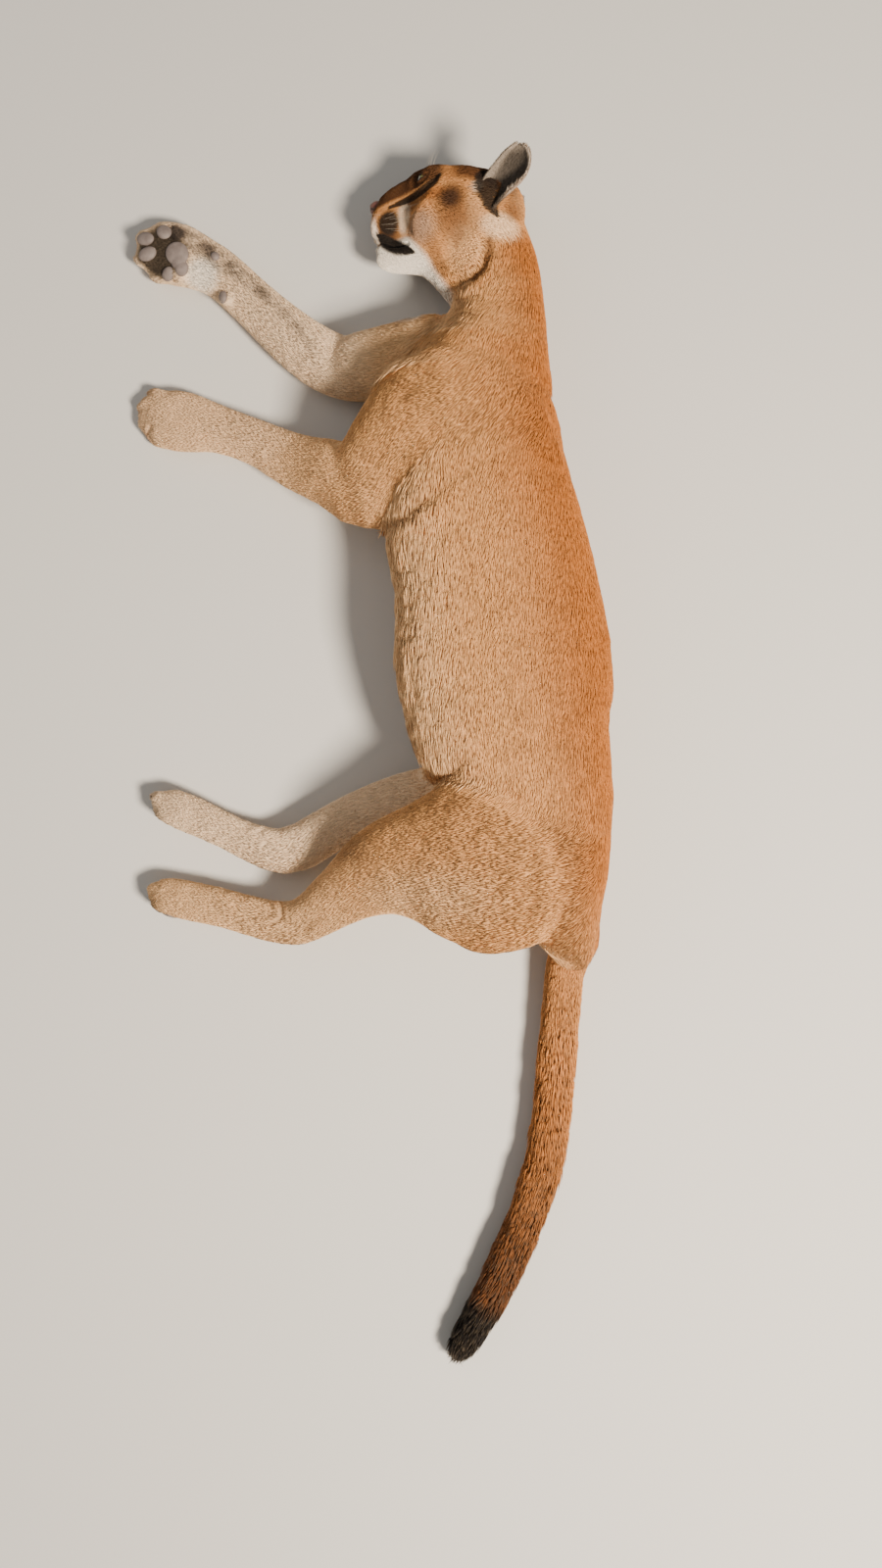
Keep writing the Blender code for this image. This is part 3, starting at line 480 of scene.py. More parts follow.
def sculpted(points, normals):
    """The skin of the face with its lids, lips, nose groove and whisker roots."""
    head = mirrored_head(points)
    inward = np.zeros(len(points))
    front = smooth(0.030, 0.045, head[:, 0]) * head_share(points)
    away, share = from_line(head[:, (0, 2)], MOUTH_LINE)
    fade = front * (1.0 - smooth(0.90, 1.0, share) * 0.6)
    inward += fade * 0.0040 * np.exp(-(away / 0.0017) ** 2)
    inward -= fade * 0.0010 * np.exp(-((away - 0.0050) / 0.0028) ** 2)
    groove = smooth(0.078, 0.088, head[:, 0]) * (1.0 - smooth(0.008, 0.016, head[:, 2]))
    groove *= smooth(-0.030, -0.020, head[:, 2]) * head_share(points)
    inward += groove * 0.0030 * np.exp(-(head[:, 1] / 0.0016) ** 2)
    for root in whisker_roots():
        inward -= 0.0005 * np.exp(-(np.linalg.norm(head[:, (0, 2)] - root, axis=1) / 0.0014) ** 2) * front
    # The hollow side of the bridge, and the neck's hollow behind the cheek
    tear, _ = from_line(head[:, (0, 2)], TEAR)
    inward += 0.0018 * np.exp(-(tear / 0.0045) ** 2) * head_share(points) * smooth(0.010, 0.018, head[:, 1])
    edge, share = from_line(head[:, (0, 2)], CHEEK_EDGE)
    past = np.linalg.norm(head[:, (0, 2)] - np.array((-0.020, -0.055)), axis=1) > 0.0478
    ends = np.sin(math.pi * np.clip(share, 0.03, 0.97)) ** 0.5 * smooth(0.005, 0.020, head[:, 1])
    inward += ends * np.where(past, 0.0060 * np.exp(-((edge - 0.003) / 0.0065) ** 2),
                              0.0030 * np.exp(-((edge + 0.001) / 0.003) ** 2)
                              - 0.0020 * np.exp(-((edge - 0.010) / 0.006) ** 2))
    inward += folded(points, normals)
    points = points - normals * inward[:, None]
    return with_lids(points)


def folded(points, normals, brown=False):
    """How deep the folds are at each point, or the share of brown painted in them as shade."""
    flat = (points + MIDDLE)[:, :2]
    found = np.zeros(len(points))
    for depth, half, shade_share, line in FOLDS.values():
        away, share = from_line(flat, np.array(line))
        taper = np.sqrt(np.sin(math.pi * np.clip(share, 0.02, 0.98))) * (1.0 - 0.6 * share)
        peak, spread = (shade_share, half * 1.25) if brown else (depth, half)
        found = np.maximum(found, peak * taper * np.exp(-(away / spread) ** 2))
    return found * smooth(0.0, 0.35, normals[:, 2])


def with_lids(points):
    """Vertices near each eye drawn onto the lids, and into the socket inside their opening."""
    head = to_head(points)
    side = np.sign(head[:, 1])
    half = head * np.column_stack((np.ones(len(head)), side, np.ones(len(head))))
    look, _, _ = eye_axes()
    off = half - EYE_AT
    reach = np.linalg.norm(off, axis=1)
    forward = (off @ look) / np.maximum(reach, 1e-9)
    _, high, ratio = opening(half)
    wide = np.linalg.norm(off - (off @ look)[:, None] * look, axis=1)
    near = (1.0 - smooth(0.0115, 0.0175, wide)) * smooth(0.25, 0.45, forward) * (reach < 0.026)
    lids = EYE_RADIUS + LID_WALL + 0.0007 * np.exp(-((ratio - 1.15) / 0.25) ** 2)
    inside = 1.0 - smooth(0.93, 1.03, ratio)
    goal = lids - inside * (LID_WALL + 0.0032)
    # A crease where the upper lid folds under the brow
    goal = goal - 0.0014 * np.exp(-((high - 0.0078) / 0.0013) ** 2)
    moved = EYE_AT + off / np.maximum(reach, 1e-9)[:, None] * goal[:, None]
    half = half + (moved - half) * near[:, None]
    half[:, 1] *= side
    return np.where(near[:, None] > 0.0, from_head(half), points)


def whisker_roots():
    """Where the whiskers grow, in the head's side view: four rows on each pad."""
    roots = []
    for row, (start, height, count) in enumerate(WHISKER_ROWS):
        for k in range(count):
            roots.append((start - WHISKER_GAP * k - 0.003 * (row % 2), height - 0.0012 * k))
    return np.array(roots)


def coat_way(points, normals, lie):
    """The way the coat lies, along the surface."""
    way = lie.way.copy()
    # Over the ribs the coat also runs from the spine to the belly
    way += (lie.line == TRUNK)[:, None] * np.array((-0.22, 0.0, 0.0))
    head = to_head(points)
    start = np.array((0.096, 0.0, 0.020))
    face = head - start
    face[:, 0] -= 0.02
    face = unit(face)
    face[:, 2] -= 0.25 * smooth(0.0, -0.03, head[:, 2])
    share = head_share(points)[:, None]
    way = unit(way) * (1.0 - share) + (unit(face) @ HEAD_AXES) * share
    way -= normals * np.sum(way * normals, axis=1)[:, None]
    return unit(way)


def band(head, line, half):
    """1 on a band along a line of the head's side view, whose half breadth is given at each of its points."""
    away, share = from_line(head[:, (0, 2)], line)
    breadth = np.interp(share, np.linspace(0.0, 1.0, len(half)), half)
    return 1.0 - smooth(0.70, 1.20, away / breadth)


def strongest(*values):
    """The largest of several values at each point."""
    return np.max(values, axis=0)


def head_marks(head):
    """The markings of the head, with painted shade on the crown, the bridge, the tear line and behind the
    chin, from places in its own frame with both sides brought to its left.
    """
    x, y, z = head.T
    on = {name: spot(head, *place) for name, place in HEAD_SPOTS.items()}
    # The crown: darker fur, with the ear's shadow painted over it
    crown = smooth(0.018, 0.036, z - 0.33 * (x + 0.045))
    crown *= smooth(-0.012, -0.032, x)
    crown *= smooth(-0.115, -0.095, x)
    brow = smooth(0.020, 0.036, z) * smooth(0.004, -0.01, x)
    chin = smooth(-0.006, 0.008, x - (0.0300 + 0.80 * (z + 0.0472))) * smooth(-0.0280, -0.0360, z)
    # The top of the bridge: brown fur, darkened further as painted shade
    bridge = smooth(-0.003, 0.005, z - (0.0345 - 0.26 * (x - 0.0099))) * smooth(-0.012, 0.004, x)
    moustache = on["moustache"] * smooth(0.092, 0.086, x) * smooth(0.006, 0.011, y)
    lips = band(head, LIPS, LIPS_HALF) * smooth(0.030, 0.036, x)
    # Dark fur along the bridge's edge, deepened by painted shade
    tear = band(head, TEAR, TEAR_HALF) * smooth(0.008, 0.014, y)
    streak = band(head, CHEEK_STREAK, CHEEK_STREAK_HALF)
    # Grey-brown painted shade where the lower jaw meets the cheek
    grey = band(head, JAW_SHADE, JAW_SHADE_HALF)
    far, _, ratio = opening(head)
    near_eye = np.linalg.norm(head - EYE_AT, axis=1) < EYE_REACH
    rims = (1.0 - smooth(1.6, 2.8, ratio)) * (1.0 - smooth(0.0115, 0.0155, np.abs(far))) * near_eye
    return {
        "back": strongest(0.50 * crown, 0.70 * on["golden"], 0.30 * smooth(-0.08, -0.02, z), 0.5 * brow),
        "pale": strongest(on["cream"] * 0.85, on["cheek"] * 0.35, on["side"] * 0.25),
        "white": strongest(chin, on["rim"] * 0.80, on["tuft"] * 0.60, on["cream"] * 0.40, on["bed"] * 0.18),
        "brown": strongest(on["core"] * 0.95, on["halo"] * 0.68, streak * 0.60, on["front"] * 0.60,
                           bridge * 0.85, grey * 0.50, on["bed"] * 0.50, crown * 0.85, on["pad"] * 0.80),
        "dark": strongest(moustache * 0.97, lips, rims, tear * 0.93, crown * 0.48, bridge * 0.55,
                          on["core"] * 0.76, on["halo"] * 0.18, on["bed"] * 0.12, on["pad"] * 0.55),
    }


def marks(points, normals, lie):
    """The coat's markings, with painted shade in its folds and hollows: the share of each colour at each
    point, by the colour's name.
    """
    spine = Lie(points, ["trunk"])
    over = -spine.across
    legs = lie.line > TAIL
    head = mirrored_head(points)
    on_head = head_share(points)
    body = 1.0 - on_head
    tail = lie.line == TAIL
    found = {name: values * on_head for name, values in head_marks(head).items()}
    back = smooth(-0.25, 0.85, over) * (1.0 - 0.8 * legs * smooth(0.10, 0.5, lie.share))
    back = np.where(tail, 0.45 + 0.35 * smooth(0.0, 0.4, lie.share), back)
    found["back"] += body * back
    inner = np.where(np.isin(lie.line, RIGHT_LEGS), normals[:, 2], -normals[:, 2])
    pale = smooth(0.20, 1.05, spine.across) * (lie.line == TRUNK) * 0.8
    pale = np.where(legs, smooth(0.18, 0.70, lie.share) * (0.75 + 0.25 * smooth(-0.2, 0.8, inner)), pale)
    pale = np.where(np.isin(lie.line, RIGHT_LEGS), smooth(0.02, 0.20, lie.share), pale)
    pale = np.maximum(pale, legs * 0.8 * smooth(0.1, 0.9, inner))
    buttock = spot(points + MIDDLE, *BODY_SPOTS["buttock"]) * ~tail
    pale = np.maximum(pale, buttock * 0.65)
    found["pale"] += np.where(tail, 0.0, pale) * body
    lobe = spot(points + MIDDLE, *BODY_SPOTS["lobe"])
    cream = np.isin(lie.line, RIGHT_LEGS) * smooth(0.10, 0.30, lie.share) * 0.28
    cream += (lie.line == FORELEG_LEFT) * 0.12 * smooth(0.5, 0.7, lie.share)
    below = smooth(-0.25, -0.9, normals[:, 2]) * ~np.isin(lie.line, (TAIL, *RIGHT_LEGS)) * 0.30
    found["white"] += body * np.clip(cream + lobe * 0.6 + below, 0.0, 0.9)
    # Painted shade under the ear's fold
    shade_under_ear = spot(to_head(points), *HEAD_SPOTS["shade_under_ear"]) * 0.75
    tail_brown = tail * smooth(0.30, 0.80, lie.share) * 0.95
    streak, share = from_line((points + MIDDLE)[:, :2], FOREARM_STREAK)
    breadth = np.interp(share, np.linspace(0.0, 1.0, len(FOREARM_STREAK)), STREAK_HALF)
    patchy = 0.75 + 0.35 * field(points, 0.020, SEED + 5)
    streak = (1.0 - smooth(0.4, 1.2, streak / breadth)) * (1.0 - 0.80 * share) * (lie.line == FORELEG_RIGHT)
    streak *= np.clip(patchy, 0.2, 1.2)
    streak *= smooth(-0.1, 0.5, normals[:, 2])
    # Painted shade where the forelegs meet the chest
    shade_by_chest = spot(points + MIDDLE, *BODY_SPOTS["shade_by_chest"]) * 0.55
    shank = spot(points + MIDDLE, *BODY_SPOTS["shank"]) * 0.50
    # Brown of the tail, the forearm's streak and the shank, with brown painted shade in the folds and by the
    # chest
    brown = strongest(tail_brown, streak * 0.9, folded(points, normals, True), shade_by_chest, shank)
    found["brown"] = np.maximum(found["brown"] + body * brown, shade_under_ear)
    # Pale fur behind the cheek, under the ear, painted shade along the cheek's rear edge, and painted shade
    # in the deep hollow of the cup where it runs down to it
    behind = spot(head, *HEAD_SPOTS["behind_cheek"]) * (normals[:, 2] > -0.2)
    found["pale"] = np.maximum(found["pale"], behind * 0.85)
    found["white"] = np.maximum(found["white"], behind * 0.15)
    # Painted shade along the cheek's rear edge, where it stands off the neck
    edge, _ = from_line(head[:, (0, 2)], CHEEK_EDGE + np.array((-0.0040, -0.0020)))
    shade = np.exp(-(edge / 0.0065) ** 2) * smooth(0.005, 0.020, head[:, 1])
    found["brown"] = np.maximum(found["brown"], shade * 0.70)
    found["dark"] = np.maximum(found["dark"], shade * 0.30)
    tail_tip = tail * np.maximum(smooth(0.815, 0.885, lie.share), 0.30 * smooth(0.62, 0.82, lie.share))
    sole = spot(points + MIDDLE, *BODY_SPOTS["sole"]) * (lie.line == FORELEG_RIGHT)
    sole *= smooth(0.1, 0.6, normals[:, 2]) * 0.94
    toes = np.isin(lie.line, HINDLEGS) * smooth(0.90, 0.95, lie.share)
    toes = toes * smooth(0.3, -0.5, normals[:, 1]) * 0.5
    found["dark"] += body * strongest(tail_tip, sole, toes, streak * 0.70)
    # Painted shade in the deep hollow of the cup
    foot = band(head, CUP_SHADE, CUP_SHADE_HALF) * smooth(0.030, 0.042, head[:, 1]) * 0.96
    found["dark"] = np.maximum(found["dark"], foot)
    return {name: np.clip(values, 0.0, 1.0) for name, values in found.items()}


def ear_sheet(side):
    """Points of an ear's middle sheet, up from its foot and across from its front edge, and normals."""
    sign, forward, reach, breadth = EARS[side]
    up = np.linspace(0.0, 1.0, EAR_UP)
    rows = np.array([np.interp(up, np.linspace(0.0, 1.0, len(EAR_ROWS)), column) for column in EAR_ROWS.T])
    spread = np.array((1.0, 3.0, 4.0, 3.0, 1.0)) / 12.0
    rows = np.array([np.convolve(np.pad(row, 2, "edge"), spread, "valid") for row in rows])
    front, rear, depth = rows[:3].T[:, None], rows[3:6].T[:, None], rows[6][:, None]
    across = np.linspace(0.0, 1.0, EAR_ACROSS)
    share = (1.0 - np.cos(math.pi * across))[None, :, None] / 2.0 * breadth
    points = front + (rear - front) * share
    pocket = 0.0035 * np.exp(-((across[None] - 0.86) / 0.05) ** 2 - ((up[:, None] - 0.30) / 0.10) ** 2)
    flare = 0.0022 * smooth(0.88, 1.0, across)[None] * smooth(0.2, 0.5, up)[:, None]
    points[:, :, 1] -= depth * np.sin(math.pi * across)[None] ** 0.9 - pocket + flare * 0.5
    points[:, :, 0] += forward - flare
    points[:, :, 1] *= sign * reach
    normals = np.cross(np.gradient(points, axis=1), np.gradient(points, axis=0))
    normals = unit(normals) * np.sign(unit(normals)[..., 1:2]) * sign
    return points, normals


def ear_mesh(side):
    """One ear: a cup with a thin wall, a rolled rear rim and a small pocket at the foot of it."""
    points, _ = ear_sheet(side)
    mesh = bmesh.new()
    bmesh.ops.create_grid(mesh, x_segments=EAR_ACROSS - 1, y_segments=EAR_UP - 1, size=0.5)
    for vert in mesh.verts:
        column = round((vert.co.x + 0.5) * (EAR_ACROSS - 1))
        row = round((vert.co.y + 0.5) * (EAR_UP - 1))
        vert.co = from_head(points[row, column])
    piece = new_object("ear", mesh)
    wall = piece.modifiers.new("wall", "SOLIDIFY")
    wall.thickness = EAR_WALL
    wall.offset = 0.0
    shell = evaluated(piece)
    bmesh.ops.recalc_face_normals(shell, faces=shell.faces)
    return shell


def on_ear(points, side):
    """Place across an ear from its front edge, place up it from its foot, and 1 on its hollow side."""
    sheet, facing = ear_sheet(side)
    tree = KDTree(sheet.shape[0] * sheet.shape[1])
    for index, place in enumerate(sheet.reshape(-1, 3)):
        tree.insert(place, index)
    tree.balance()
    head = to_head(points)
    nearest = np.array([tree.find(place)[1] for place in head], int)
    row, column = nearest // sheet.shape[1], nearest % sheet.shape[1]
    off = head - sheet[row, column]
    hollow = np.sum(off * facing[row, column], axis=1) > 0.0
    return column / (sheet.shape[1] - 1.0), row / (sheet.shape[0] - 1.0), hollow.astype(float)


def ear_marks(across, up, hollow):
    """The ear's markings: black brown behind, grey brown painted shade in the cup, darkest deep near its
    foot, and pale hair along its edges.
    """
    found = {}
    front = smooth(0.30, 0.12, across) * smooth(0.30, 0.45, up)
    rear = smooth(0.90, 0.96, across) * smooth(0.10, 0.25, up)
    pocket = np.exp(-((across - 0.88) / 0.12) ** 2 - ((up - 0.27) / 0.13) ** 2)
    tip = smooth(0.80, 1.0, up)
    deep = smooth(0.45, 0.20, up) * smooth(1.0, 0.75, across)
    found["back"] = np.zeros(len(up))
    found["pale"] = np.zeros(len(up))
    found["white"] = np.where(hollow > 0.5, 0.70, 0.45)
    found["brown"] = np.where(hollow > 0.5, 0.10, 0.30)
    # Painted shade fills the cup, darker deep near its foot; pale hair at its front, rear, pocket and tip
    # lightens it
    cup = 0.90 + 0.08 * deep - 0.30 * front - 0.20 * tip
    cup = cup * (1.0 - 0.75 * rear) * (1.0 - 0.80 * np.clip(pocket, 0.0, 1.0))
    found["dark"] = np.where(hollow > 0.5, cup, (0.88 - 0.25 * tip) * (1.0 - 0.55 * rear))
    return {name: np.clip(values, 0.0, 1.0) for name, values in found.items()}


def write_marks(data, found, extra=None):
    """Keeps the markings on the mesh, one attribute for each colour."""
    for name, values in {**found, **(extra or {})}.items():
        layer = data.attributes.new(name, "FLOAT", "POINT")
        layer.data.foreach_set("value", np.asarray(values, np.float32))


def mesh_arrays(data):
    """Vertices, normals and triangles of a mesh, as arrays."""
    count = len(data.vertices)
    points = np.empty(count * 3, np.float32)
    normals = np.empty(count * 3, np.float32)
    data.vertices.foreach_get("co", points)
    data.vertices.foreach_get("normal", normals)
    data.calc_loop_triangles()
    corners = np.empty(len(data.loop_triangles) * 3, np.int32)
    data.loop_triangles.foreach_get("vertices", corners)
    return (points.reshape(-1, 3).astype(float), normals.reshape(-1, 3).astype(float), corners.reshape(-1, 3))


def make_skin():
    """The skin of the whole body, with the ears, inside the solids by the coat's depth."""
    mesh = flesh_mesh()
    made_finer(mesh, in_face, 2)
    made_finer(mesh, lambda points: in_feet(points) & ~in_face(points), 1)
    bmesh.ops.triangulate(mesh, faces=[face for face in mesh.faces if len(face.verts) > 4])
    points, _ = places(mesh)
    fine = [vert for vert, take in zip(mesh.verts, in_face(points)) if take]
    for _ in range(4):
        bmesh.ops.smooth_vert(mesh, verts=fine, factor=0.5, use_axis_x=True, use_axis_y=True, use_axis_z=True)
    points, normals = places(mesh)
    depth = coat_depth(points, Lie(points)) + CLOSING
    points = points - normals * depth[:, None]
    move_to(mesh, points)
    points, normals = places(mesh)
    points = sculpted(points, normals)
    points[:, 2] = np.maximum(points[:, 2], 0.0008)
    move_to(mesh, points)
    points, normals = places(mesh)
    found = marks(points, normals, Lie(points))
    part = np.zeros(len(points))
    for number, side in enumerate(EARS, 1):
        ear = ear_mesh(side)
        ear_points, _ = places(ear)
        more = ear_marks(*on_ear(ear_points, side))
        found = {name: np.concatenate((values, more[name])) for name, values in found.items()}
        part = np.concatenate((part, np.full(len(ear_points), number)))
        data = bpy.data.meshes.new("ear")
        ear.to_mesh(data)
        ear.free()
        mesh.from_mesh(data)
        bpy.data.meshes.remove(data)
    skin = new_object("skin", mesh)
    shade_smooth(skin)
    write_marks(skin.data, found, {"part": part})
    skin.data.materials.append(coat_material("short_fur_skin", False))
    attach(skin, "root")
    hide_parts(*FLESH, "ear_left", "ear_right")
    return skin


# The coat's tufts by region: length, breadth, rise of the tip over the skin, cover
TUFTS = {
    "trunk": (0.0160, 0.0014, 0.0024, 1.9),
    "belly": (0.0250, 0.0018, 0.0065, 2.1),
    "tail": (0.0260, 0.0022, 0.0090, 2.6),
    "tip": (0.0200, 0.0022, 0.0130, 3.4),
    "leg": (0.0125, 0.0013, 0.0013, 1.9),
    "foot": (0.0078, 0.0011, 0.0010, 2.0),
    "face": (0.0048, 0.0009, 0.0011, 2.1),
    "cheek": (0.0085, 0.0012, 0.0024, 2.1),
    "ear": (0.0050, 0.0008, 0.0007, 1.8),
    "pocket": (0.0090, 0.0009, 0.0016, 1.9),
}


COVER_SHARE = 0.87
# Points of one tuft, and the share of its length where it is broadest
LEAF_POINTS = 5
LEAF_MIDDLE = 0.42
# Size of one tuft's patch on the unwrap
PATCH = 0.003


def field(points, size, seed):
    """A soft random number for each point, 0 on average, that changes over about this size."""
    rng = np.random.default_rng(seed)
    total = np.zeros(len(points))
    for _ in range(12):
        way = unit(rng.normal(0.0, 1.0, 3)) * 2.0 * math.pi / size * rng.uniform(0.4, 1.2)
        total += np.sin(points @ way + rng.uniform(0.0, 2.0 * math.pi))
    return total / math.sqrt(6.0)


def tuft_sizes(points, lie):
    """Length, breadth, rise and cover of the tufts at each point."""
    sizes = {name: np.array(values) for name, values in TUFTS.items()}
    spine = Lie(points, ["trunk"])
    found = np.tile(sizes["trunk"], (len(points), 1))

    def blend(share, name):
        found[:] = found + (sizes[name] - found) * share[:, None]

    blend((lie.line == TRUNK) * smooth(0.25, 0.90, spine.across), "belly")
    blend((lie.line > TAIL) * smooth(-0.05, 0.20, lie.share), "leg")
    blend((lie.line > TAIL) * smooth(0.74, 0.86, lie.share), "foot")
    blend((lie.line == TAIL) * smooth(0.02, 0.30, lie.share), "tail")
    blend((lie.line == TAIL) * smooth(0.90, 1.0, lie.share), "tip")
    on_head = head_share(points)
    head = to_head(points)
    blend(on_head, "cheek")
    blend(on_head * smooth(0.000, 0.040, head[:, 0]), "face")
    return found


def tufts_per_area(sizes):
    """How many tufts a square metre holds, from their cover, length and breadth."""
    return sizes[:, 3] / (sizes[:, 0] * sizes[:, 1] * 0.5)


def bare_share(points):
    """Where no fur grows: the lips' edges, the lids' rims, the pads, and under the nose and the eyes."""
    head = mirrored_head(points)
    on_head = head_share(points)
    lips, _ = from_line(head[:, (0, 2)], MOUTH_LINE)
    _, _, ratio = opening(head)
    near_eye = np.linalg.norm(head - EYE_AT, axis=1) < EYE_REACH
    bare = (lips < 0.0026) * (head[:, 0] > 0.038)
    bare = bare | (near_eye & (ratio < 1.9))
    nose = np.linalg.norm((head - NOSE_AT) / (np.array(NOSE_SIZE) + 0.0010), axis=1) < 1.0
    return (bare | nose) * on_head > 0.5


def scattered(points, corners, cover, rng):
    """Random even places on triangles: the triangle of each, and its share of the corners."""
    a, b, c = (points[corners[:, k]] for k in range(3))
    area = np.linalg.norm(np.cross(b - a, c - a), axis=1) / 2.0
    run = np.cumsum(area * cover)
    count = int(run[-1])
    goals = (np.arange(count) + rng.random(count)) * run[-1] / count
    chosen = np.minimum(np.searchsorted(run, goals), len(corners) - 1)
    first, second = rng.random(count), rng.random(count)
    flip = first + second > 1.0
    first[flip], second[flip] = 1.0 - first[flip], 1.0 - second[flip]
    shares = np.column_stack((1.0 - first - second, first, second))
    return chosen, shares


def tuft_mesh(name, roots, normals, ways, sizes, found, spots, rng):
    """Tufts as one mesh: each a thin closed leaf of six faces, broad near its root, pointed at its tip."""
    count = len(roots)
    length = sizes[:, 0] * rng.uniform(0.75, 1.25, count)
    breadth = sizes[:, 1] * rng.uniform(0.8, 1.2, count)
    # The coat lies in locks: neighbours lift and swing together
    lock = np.clip(1.0 + 0.16 * field(roots, 0.024, SEED + 2), 0.5, 1.5)
    rise = sizes[:, 2] * rng.uniform(0.55, 1.0, count) * lock
    side = np.cross(normals, ways)
    swing = rng.normal(0.0, 0.07, count) + 0.07 * field(roots, 0.060, SEED + 3)
    ways = unit(ways + side * swing[:, None])
    side = unit(np.cross(normals, ways))
    root = roots - normals * 0.0007
    middle = roots + ways * (length * LEAF_MIDDLE)[:, None] + normals * (rise * 0.62)[:, None]
    tip = roots + ways * length[:, None] + normals * (rise * 0.80)[:, None]
    bend = side * (rng.normal(0.0, 0.05, count) * length)[:, None]
    tip = tip + bend
    left = middle + side * (breadth / 2.0)[:, None]
    right = middle - side * (breadth / 2.0)[:, None]
    top = middle + normals * (breadth * 0.32)[:, None] - ways * (length * 0.10)[:, None]
    points = np.stack((root, left, right, top, tip), axis=1)
    points[:, :, 2] = np.maximum(points[:, :, 2], 0.0004)
    base = np.array(((0, 3, 1), (0, 2, 3), (1, 3, 4), (3, 2, 4), (0, 1, 2), (1, 4, 2)))
    corners = (base[None] + LEAF_POINTS * np.arange(count)[:, None, None]).reshape(-1, 3)
    data = bpy.data.meshes.new(name)
    data.vertices.add(LEAF_POINTS * count)
    data.vertices.foreach_set("co", points.reshape(-1))
    data.loops.add(len(corners) * 3)
    data.loops.foreach_set("vertex_index", corners.reshape(-1).astype(np.int32))
    data.polygons.add(len(corners))
    data.polygons.foreach_set("loop_start", np.arange(len(corners), dtype=np.int32) * 3)
    data.polygons.foreach_set("use_smooth", [True] * len(corners))
    data.update(calc_edges=True)
    layer = data.uv_layers.new(name="OFBake")
    patch = PATCH * np.array(((0.5, 0.0), (0.1, 0.4), (0.9, 0.4), (0.5, 0.5), (0.5, 1.0)))
    places_on = spots[:, None, :] + patch[None]
    layer.data.foreach_set("uv", places_on.reshape(-1, 2)[corners.reshape(-1)].reshape(-1))
    strand = np.repeat(rng.random(count), LEAF_POINTS)
    along = np.tile((0.0, LEAF_MIDDLE, LEAF_MIDDLE, LEAF_MIDDLE, 1.0), count)
    write_marks(data, {key: np.repeat(values, LEAF_POINTS) for key, values in found.items()},
                {"strand": strand, "along": along})
    piece = bpy.data.objects.new(name, data)
    bpy.context.scene.collection.objects.link(piece)
    return piece


def unwrap(points, lie, part):
    """Places on an unwrap of the skin: a tile for each line of the body, for the head and for each ear."""
    tile = lie.line.copy()
    across = lie.share
    around = lie.angle / (2.0 * math.pi) + 0.5
    head = to_head(points)
    on_head = (head_share(points) > 0.5) & (part == 0)
    reach = np.linalg.norm(head[:, 1:], axis=1)
    tile[on_head] = len(LINES)
    across = np.where(on_head, np.arctan2(head[:, 0], reach) / math.pi + 0.5, across)
    around = np.where(on_head, np.arctan2(head[:, 1], head[:, 2]) / (2.0 * math.pi) + 0.5, around)
    for number, side in enumerate(EARS, 1):
        chosen = part == number
        tile[chosen] = len(LINES) + number
        if chosen.any():
            place, up, hollow = on_ear(points[chosen], side)
            across[chosen] = up
            around[chosen] = np.where(hollow > 0.5, place * 0.49, 0.51 + place * 0.49)
    column, row = tile % 3, tile // 3
    return np.column_stack(((column + 0.02 + 0.94 * across) / 3.0, (row + 0.02 + 0.94 * around) / 3.0))


# Where the pieces of the trunk's upper side start, along the body
TRUNK_PIECES = {"coat_loin": 0.02, "coat_flank": 0.22, "coat_ribs": 0.38, "coat_shoulder": 0.53}


def coat_piece(lie, points, part):
    """The coat piece that each point belongs to."""
    spine = points[:, 1] + MIDDLE[1]
    upper = points[:, 2] > 0.10
    names = np.full(len(points), "coat_hindleg_right", dtype=object)
    trunk = lie.line == TRUNK
    names[trunk] = "coat_rump"
    for name, start in TRUNK_PIECES.items():
        names[trunk & (spine > start)] = name
    names[trunk & ~upper & (spine < 0.53)] = "coat_underside"
    names[trunk & ~upper & (spine < 0.20)] = "coat_underside_rump"
    names[trunk & (spine > 0.64)] = "coat_neck"
    names[lie.line == TAIL] = "coat_tail"
    names[lie.line == FORELEG_LEFT] = "coat_foreleg_left"
    names[lie.line == FORELEG_RIGHT] = "coat_foreleg_right"
    names[lie.line == HINDLEG_LEFT] = "coat_hindleg_left"
    names[(lie.line == HINDLEG_LEFT) & (lie.share < 0.30)] = "coat_thigh_left"
    foot = lie.share > 0.72
    names[np.isin(lie.line, FORELEGS) & foot] = "coat_forepaws"
    names[np.isin(lie.line, HINDLEGS) & foot] = "coat_hindfeet"
    head = to_head(points)
    on_head = head_share(points) > 0.5
    names[on_head] = "coat_cheeks"
    names[on_head & (head[:, 0] > 0.005)] = "coat_face"
    names[part > 0] = "coat_ears"
    return names


